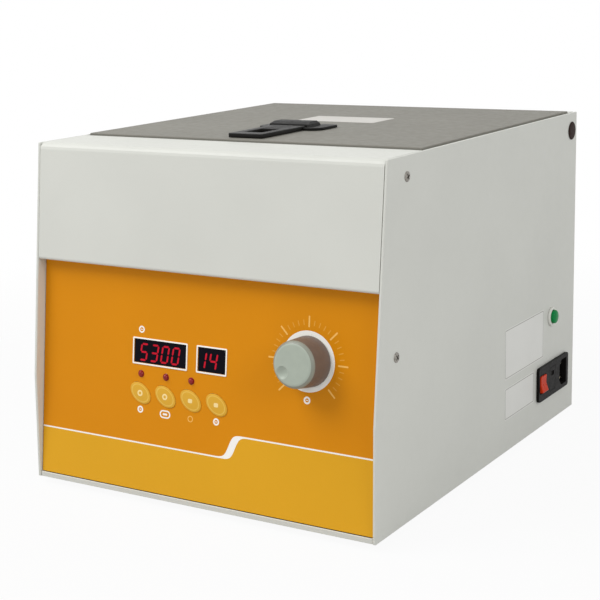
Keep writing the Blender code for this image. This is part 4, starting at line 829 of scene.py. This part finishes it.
def make_hinge_caps():
    """Low domed caps over the hinge pins."""
    radius, rise, steps = 8.3 * MM, 0.9 * MM, 10
    shares = [i / steps for i in range(steps + 1)]
    dome = [(radius * 0.94 * share, rise - 0.35 * rise * share**2) for share in shares]
    profile = [*dome, (radius, 0.25 * rise), (radius, 0), (0, 0)]
    for side, name in ((1, "right"), (-1, "left")):
        node = "hinge_cap_" + name
        low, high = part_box(node)
        middle = (low + high) / 2
        turn = Matrix.Rotation(side * math.pi / 2, 4, "Y")
        place = Matrix.Translation((side * (SIDE_X + CLEAR), middle.y, middle.z)) @ turn
        piece(node + "_dome", lathe(profile, 64), "cap_black", "case", place, (node,))


def make_labels():
    """Plain blank labels on the right side and on the lid."""
    thick, ink, margin, stroke = 0.12 * MM, 0.04 * MM, 2, 1.2

    def inset(label, by, radius):
        x, y, width, height = label
        return rounded(x * MM, y * MM, (width - by) * MM, (height - by) * MM, radius * MM)

    plates = [slab([inset(label, 0, 1.5)], 0, thick) for label in SIDE_LABELS]
    piece("side_labels", gather(plates), "label_paper", "case", RIGHT_SIDE)
    rules = []
    for label in SIDE_LABELS:
        frames = [inset(label, margin, 1.2), inset(label, margin + stroke, 0.8)]
        rules.append(slab(frames, thick, thick + ink))
    piece("label_rules", gather(rules), "label_rule", "case", RIGHT_SIDE)
    sticker = slab([rounded(-2.2 * MM, 62.0 * MM, 80 * MM, 42 * MM, 2 * MM)], 0, thick)
    piece("lid_label", sticker, "lid_sticker", "lid", Matrix.Translation((0, 0, LID_TOP)))


# Lid latch


def make_latch():
    """The slide with its finger window, its edges softened."""
    low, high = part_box("latch_slide")
    place = Matrix.Translation(((low.x + high.x) / 2, low.y, 0))
    width, length, corner = 33 * MM, 86 * MM, 1.5 * MM
    tongue = rounded(0, length / 2, width, length, corner)
    window = rounded(0, 26.25 * MM, 17.5 * MM, 27.5 * MM, corner)
    slide = slab([tongue, window], low.z, high.z, 0.5 * MM)
    stem, stem_y, top, under = 3.3 * MM, 54.5 * MM, low.z + 2.1 * MM, low.z - MM
    seat = lathe([(0, top), (stem, top), (stem, under), (0, under)], 32)
    seat.transform(Matrix.Translation((0, stem_y, 0)))
    slide = cut(slide, seat)
    piece("latch_tongue", slide, "black_plastic", "latch", place, ("latch_slide",))


def make_bridge():
    """The bridge over the slide: a plate with round front corners, and a block with a leaning front."""
    low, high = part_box("latch_bridge")
    middle = Matrix.Translation(((low.x + high.x) / 2, (low.y + high.y) / 2, low.z))
    half, rear, tall = (high.x - low.x) / 2, (high.y - low.y) / 2, high.z - low.z
    sheet, front, soft, corner = 2.2 * MM, rear + 3.6 * MM, 10 * MM, 1.5 * MM
    outline = [
        *arc(soft - half, soft - front, soft, 180, 270, 12),
        *arc(half - soft, soft - front, soft, 270, 360, 12),
        *arc(half - corner, rear - corner, corner, 0, 90, 6),
        *arc(corner - half, rear - corner, corner, 90, 180, 6),
    ]
    plate = slab([outline], 0, sheet, 0.4 * MM)
    levels = (  # height, left, right, front and rear of the block
        (sheet / 2, -21.0 * MM, 19.6 * MM, -13.6 * MM, 7.5 * MM),
        (4.4 * MM, -20.4 * MM, 18.8 * MM, -12.6 * MM, 5.6 * MM),
        (tall, -19.2 * MM, 16.6 * MM, -7.0 * MM, 4.5 * MM),
    )
    crown = bmesh.new()
    rings = []
    for level, left, right, near, far in levels:
        corners = ((left, near), (right, near), (right, far), (left, far))
        rings.append([crown.verts.new((x, y, level)) for x, y in corners])
    crown.faces.new(rings[0][::-1])
    crown.faces.new(rings[-1])
    for below, above in zip(rings, rings[1:]):
        for i in range(4):
            crown.faces.new((below[i - 1], below[i], above[i], above[i - 1]))
    bent = 0.2
    shown = [edge for edge in crown.edges if max(v.co.z for v in edge.verts) > sheet]
    upper = [edge for edge in shown if edge.calc_face_angle() > bent]
    bmesh.ops.bevel(crown, geom=upper, offset=1.2 * MM, segments=5, profile=0.5, affect="EDGES")
    gap, room = 16.8 * MM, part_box("latch_slide")[1].z - low.z + CLEAR
    channel = (-gap, -2 * front, -MM), (gap, 2 * front, room)
    grip = gather([cut(part, block(*channel)) for part in (plate, crown)])
    piece("latch_grip", grip, "black_plastic", "lid", middle, ("latch_bridge",))


# Bowl and rotor, under the lid


def make_bowl():
    """The drawn bowl with its rolled lip, and the round-topped gasket on its flange."""
    radius, sheet, corner, flange, hole, soft = 110 * MM, 1.5 * MM, 18 * MM, 11 * MM, 22 * MM, 1.2 * MM
    top, seat = BOWL_HIGH.z, BOWL_HIGH.z - sheet
    floor = BOWL_LOW.z + sheet
    outside = arc(radius - corner, floor + corner, corner + sheet, 0, -90, 16)
    inside = arc(radius - corner, floor + corner, corner, -90, 0, 16)
    lip = arc(radius + soft, top - soft, soft, 180, 90, 6)
    profile = [*lip, (radius + flange, top), (radius + flange, seat), (radius + sheet, seat), *outside]
    profile += [(hole, floor - sheet), (hole, floor), *inside]
    shell = lathe(profile, 144, closed=True)
    piece("bowl_shell", shell, "spun_steel", "case", ROTOR, ("rotor_bowl",))
    low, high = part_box("bowl_gasket")
    first, width = radius + 3 * MM, 6 * MM
    tall, centre = high.z - low.z, first + width / 2
    crest = arc(centre, high.z - tall / 2, tall / 2, 0, 180, 12)
    crest = [(centre + (r - centre) * width / tall, h) for r, h in crest]
    ring = lathe([(first + width, low.z), *crest, (first, low.z)], 144, closed=True)
    piece("gasket_ring", ring, "black_rubber", "case", ROTOR, ("bowl_gasket",))


def make_rotor():
    """The angle rotor: a turned cone with a dished top and six tube holes that lean outwards."""
    low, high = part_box("rotor_head")
    bottom, top = low.z, high.z
    bore, dish, fall, rim, outer, foot, soft = 6.3 * MM, 24 * MM, 27 * MM, 78 * MM, 97 * MM, 8 * MM, 1.0 * MM
    seat, lip = top - fall, rim - 5 * MM
    profile = [
        (bore, seat),
        (dish, seat),
        (lip - soft, top - 0.55 * soft),
        (lip + soft, top),
        (rim - soft, top),
        (rim + 0.3 * soft, top - soft),
        (outer - 0.3 * soft, bottom + foot + soft),
        (outer, bottom + foot),
        (outer - 0.3 * soft, bottom + foot - soft),
        (outer - foot, bottom),
        (bore, bottom),
    ]
    head = lathe(profile, 144, closed=True)
    count, tilt, mouth, radius, depth, above = 6, math.radians(28), 50 * MM, 14.6 * MM, 57 * MM, 29.2 * MM
    mouth_z = top - fall / 2 + (mouth - (lip + dish) / 2) * fall / (lip - dish)
    blunt = 2 * MM
    drill = [(0, above), (radius, above), (radius, blunt - depth), (radius - blunt, -depth), (0, -depth)]
    lean = Matrix.Translation((mouth, 0, mouth_z)) @ Matrix.Rotation(-tilt, 4, "Y")
    turns = [Matrix.Rotation(2 * math.pi / count * i, 4, "Z") for i in range(count)]
    head = cut(head, gather([(lathe(drill, 64), turn @ lean) for turn in turns]))
    piece("rotor_cone", head, "cast_aluminium", "rotor", ROTOR, ("rotor_head",), 30)


def make_nut():
    """The fluted hand nut on the rotor's spindle."""
    low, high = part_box("rotor_nut")
    radius, crown, edge, thread = 14 * MM, 3 * MM, 0.6 * MM, 6.3 * MM
    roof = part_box("motor_spindle")[1].z + CLEAR
    profile = [(0, high.z), (radius - 5 * MM, high.z - 0.2 * MM)]
    profile += arc(radius - crown, high.z - crown, crown, 80, 0, 6)
    profile += [(radius, low.z + edge), (radius - edge, low.z), (thread, low.z), (thread, roof), (0, roof)]
    count, flute, away, over, start = 9, 3.4 * MM, radius + 2.2 * MM, high.z + MM, low.z + 3 * MM
    groove = [(0, over), (flute, over), (flute, start), (0, start)]
    flutes = []
    for i in range(count):
        turn = Matrix.Rotation(2 * math.pi / count * i, 4, "Z") @ Matrix.Translation((away, 0, 0))
        flutes.append((lathe(groove, 24), turn))
    grip = cut(lathe(profile, 72), gather(flutes))
    piece("rotor_grip", grip, "black_plastic", "rotor", ROTOR, ("rotor_nut",))


def make_feet():
    """Rubber feet with a rounded tread."""
    upper, tread = 0.5 * MM, 2 * MM
    for node in (f"foot_{row}_{column}" for row in ("front", "rear") for column in ("left", "right")):
        low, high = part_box(node)
        place = Matrix.Translation(((low.x + high.x) / 2, (low.y + high.y) / 2, 0))
        radius = (high.x - low.x) / 2
        profile = [(0, high.z), *arc(radius - upper, high.z - upper, upper, 90, 0, 4)]
        profile += [*arc(radius - tread, tread, tread, 0, -90, 6), (0, 0)]
        piece(node + "_pad", lathe(profile, 48), "black_rubber", "case", place, (node,))


# Studio


WHITE = (1, 1, 1, 1)
FLOOR_GREY = (0.6, 0.6, 0.6, 1)
FLOOR_RADIUS = 2.2
FLOOR_WHITE = 0.94  # how much of the seen floor is plain white, the rest is lit
FADE_START, FADE_END = 0.45, 1.1  # radii between which the seen floor fades out
SOFT_LIGHT = 0.5  # strength of the world's light on surfaces
CAMERA_AT = (0.64705, -1.0687, 0.4213)
CAMERA_TURN = (31.863, 12.81, -1.497)  # azimuth, elevation and roll, in degrees
FOCAL_LENGTH, SENSOR_WIDTH = 85.59, 36  # in mm


def seen_plainly(tree):
    """1 for what the camera sees, also in gloss and through glass, and 0 for light on a surface."""
    rays = tree.nodes.new("ShaderNodeLightPath").outputs
    mirrored = maths(tree, "MAXIMUM", rays["Is Glossy Ray"], rays["Is Transmission Ray"])
    return maths(tree, "MAXIMUM", rays["Is Camera Ray"], mirrored)


def mix_shaders(tree, share, first, second):
    made = tree.nodes.new("ShaderNodeMixShader")
    for socket, source in zip(made.inputs, (share, first, second)):
        tree.links.new(source, socket)
    return made.outputs[0]


def make_floor():
    """A pale floor that keeps the shadow and fades out into the white background."""
    bm = bmesh.new()
    bmesh.ops.create_circle(bm, cap_ends=True, segments=96, radius=FLOOR_RADIUS)
    mesh = bpy.data.meshes.new("studio_floor")
    bm.to_mesh(mesh)
    bm.free()
    floor = add_object("studio_floor", mesh)
    material = bpy.data.materials.new("studio_floor")
    material.use_nodes = True
    tree = material.node_tree
    tree.nodes.clear()
    output = tree.nodes.new("ShaderNodeOutputMaterial")
    lit = tree.nodes.new("ShaderNodeBsdfDiffuse")
    lit.inputs["Color"].default_value = FLOOR_GREY
    white = tree.nodes.new("ShaderNodeEmission")
    seen = seen_plainly(tree)
    shown = mix_shaders(tree, maths(tree, "MULTIPLY", seen, FLOOR_WHITE), lit.outputs[0], white.outputs[0])
    place = tree.nodes.new("ShaderNodeTexCoord")
    fade = tree.nodes.new("ShaderNodeMapRange")
    fade.interpolation_type = "SMOOTHSTEP"
    fade.inputs["From Min"].default_value = FADE_START
    fade.inputs["From Max"].default_value = FADE_END
    tree.links.new(length_of(tree, place.outputs["Object"]), fade.inputs["Value"])
    gone = maths(tree, "MULTIPLY", fade.outputs["Result"], seen)
    clear = tree.nodes.new("ShaderNodeBsdfTransparent")
    tree.links.new(mix_shaders(tree, gone, shown, clear.outputs[0]), output.inputs["Surface"])
    mesh.materials.append(material)


def make_world():
    """White where it is seen or mirrored, and a softer light on everything else."""
    world = bpy.data.worlds.new("studio")
    bpy.context.scene.world = world
    world.use_nodes = True
    tree = world.node_tree
    tree.nodes.clear()
    output = tree.nodes.new("ShaderNodeOutputWorld")
    shown = tree.nodes.new("ShaderNodeBackground")
    shown.inputs["Color"].default_value = WHITE
    light = tree.nodes.new("ShaderNodeBackground")
    light.inputs["Color"].default_value = WHITE
    light.inputs["Strength"].default_value = SOFT_LIGHT
    mixed = mix_shaders(tree, seen_plainly(tree), light.outputs[0], shown.outputs[0])
    tree.links.new(mixed, output.inputs["Surface"])


def make_light(name, place, target, size, power):
    """A round area lamp that faces a target."""
    lamp = bpy.data.lights.new(name, "AREA")
    lamp.shape = "DISK"
    lamp.size = size
    lamp.energy = power
    made = add_object(name, lamp)
    made.location = place
    made.rotation_euler = (Vector(target) - Vector(place)).to_track_quat("-Z", "Y").to_euler()


def make_camera():
    """The photograph's view, solved from the case's edges."""
    azimuth, elevation, roll = (math.radians(angle) for angle in CAMERA_TURN)
    level = math.cos(elevation)
    back = Vector((math.sin(azimuth) * level, -math.cos(azimuth) * level, math.sin(elevation)))
    right = Vector((math.cos(azimuth), math.sin(azimuth), 0))
    up = back.cross(right)
    across = math.cos(roll) * right + math.sin(roll) * up
    upward = -math.sin(roll) * right + math.cos(roll) * up
    turn = Matrix((across, upward, back)).transposed().to_4x4()
    lens = bpy.data.cameras.new("camera")
    lens.lens = FOCAL_LENGTH
    lens.sensor_width = SENSOR_WIDTH
    camera = add_object("camera", lens)
    camera.matrix_world = Matrix.Translation(CAMERA_AT) @ turn
    bpy.context.scene.camera = camera


make_camera()
make_looks()
paint_nodes()
make_screws()
soften_edges()
make_print()
make_scale()
make_icons()
make_display_frames()
make_digits()
make_keys()
make_leds()
make_knob()
make_reset()
make_hinge_caps()
make_labels()
make_latch()
make_bridge()
make_bowl()
make_rotor()
make_nut()
make_feet()
make_floor()
make_world()
make_light("key_light", (-1.25, -1.2, 2.15), (0, -0.1, 0.15), 1.8, 44)
make_light("fill_light", (2.2, -0.8, 1.3), (0, 0, 0.2), 1.4, 16)
bpy.context.scene.view_settings.view_transform = "Standard"

bpy.context.view_layer.update()
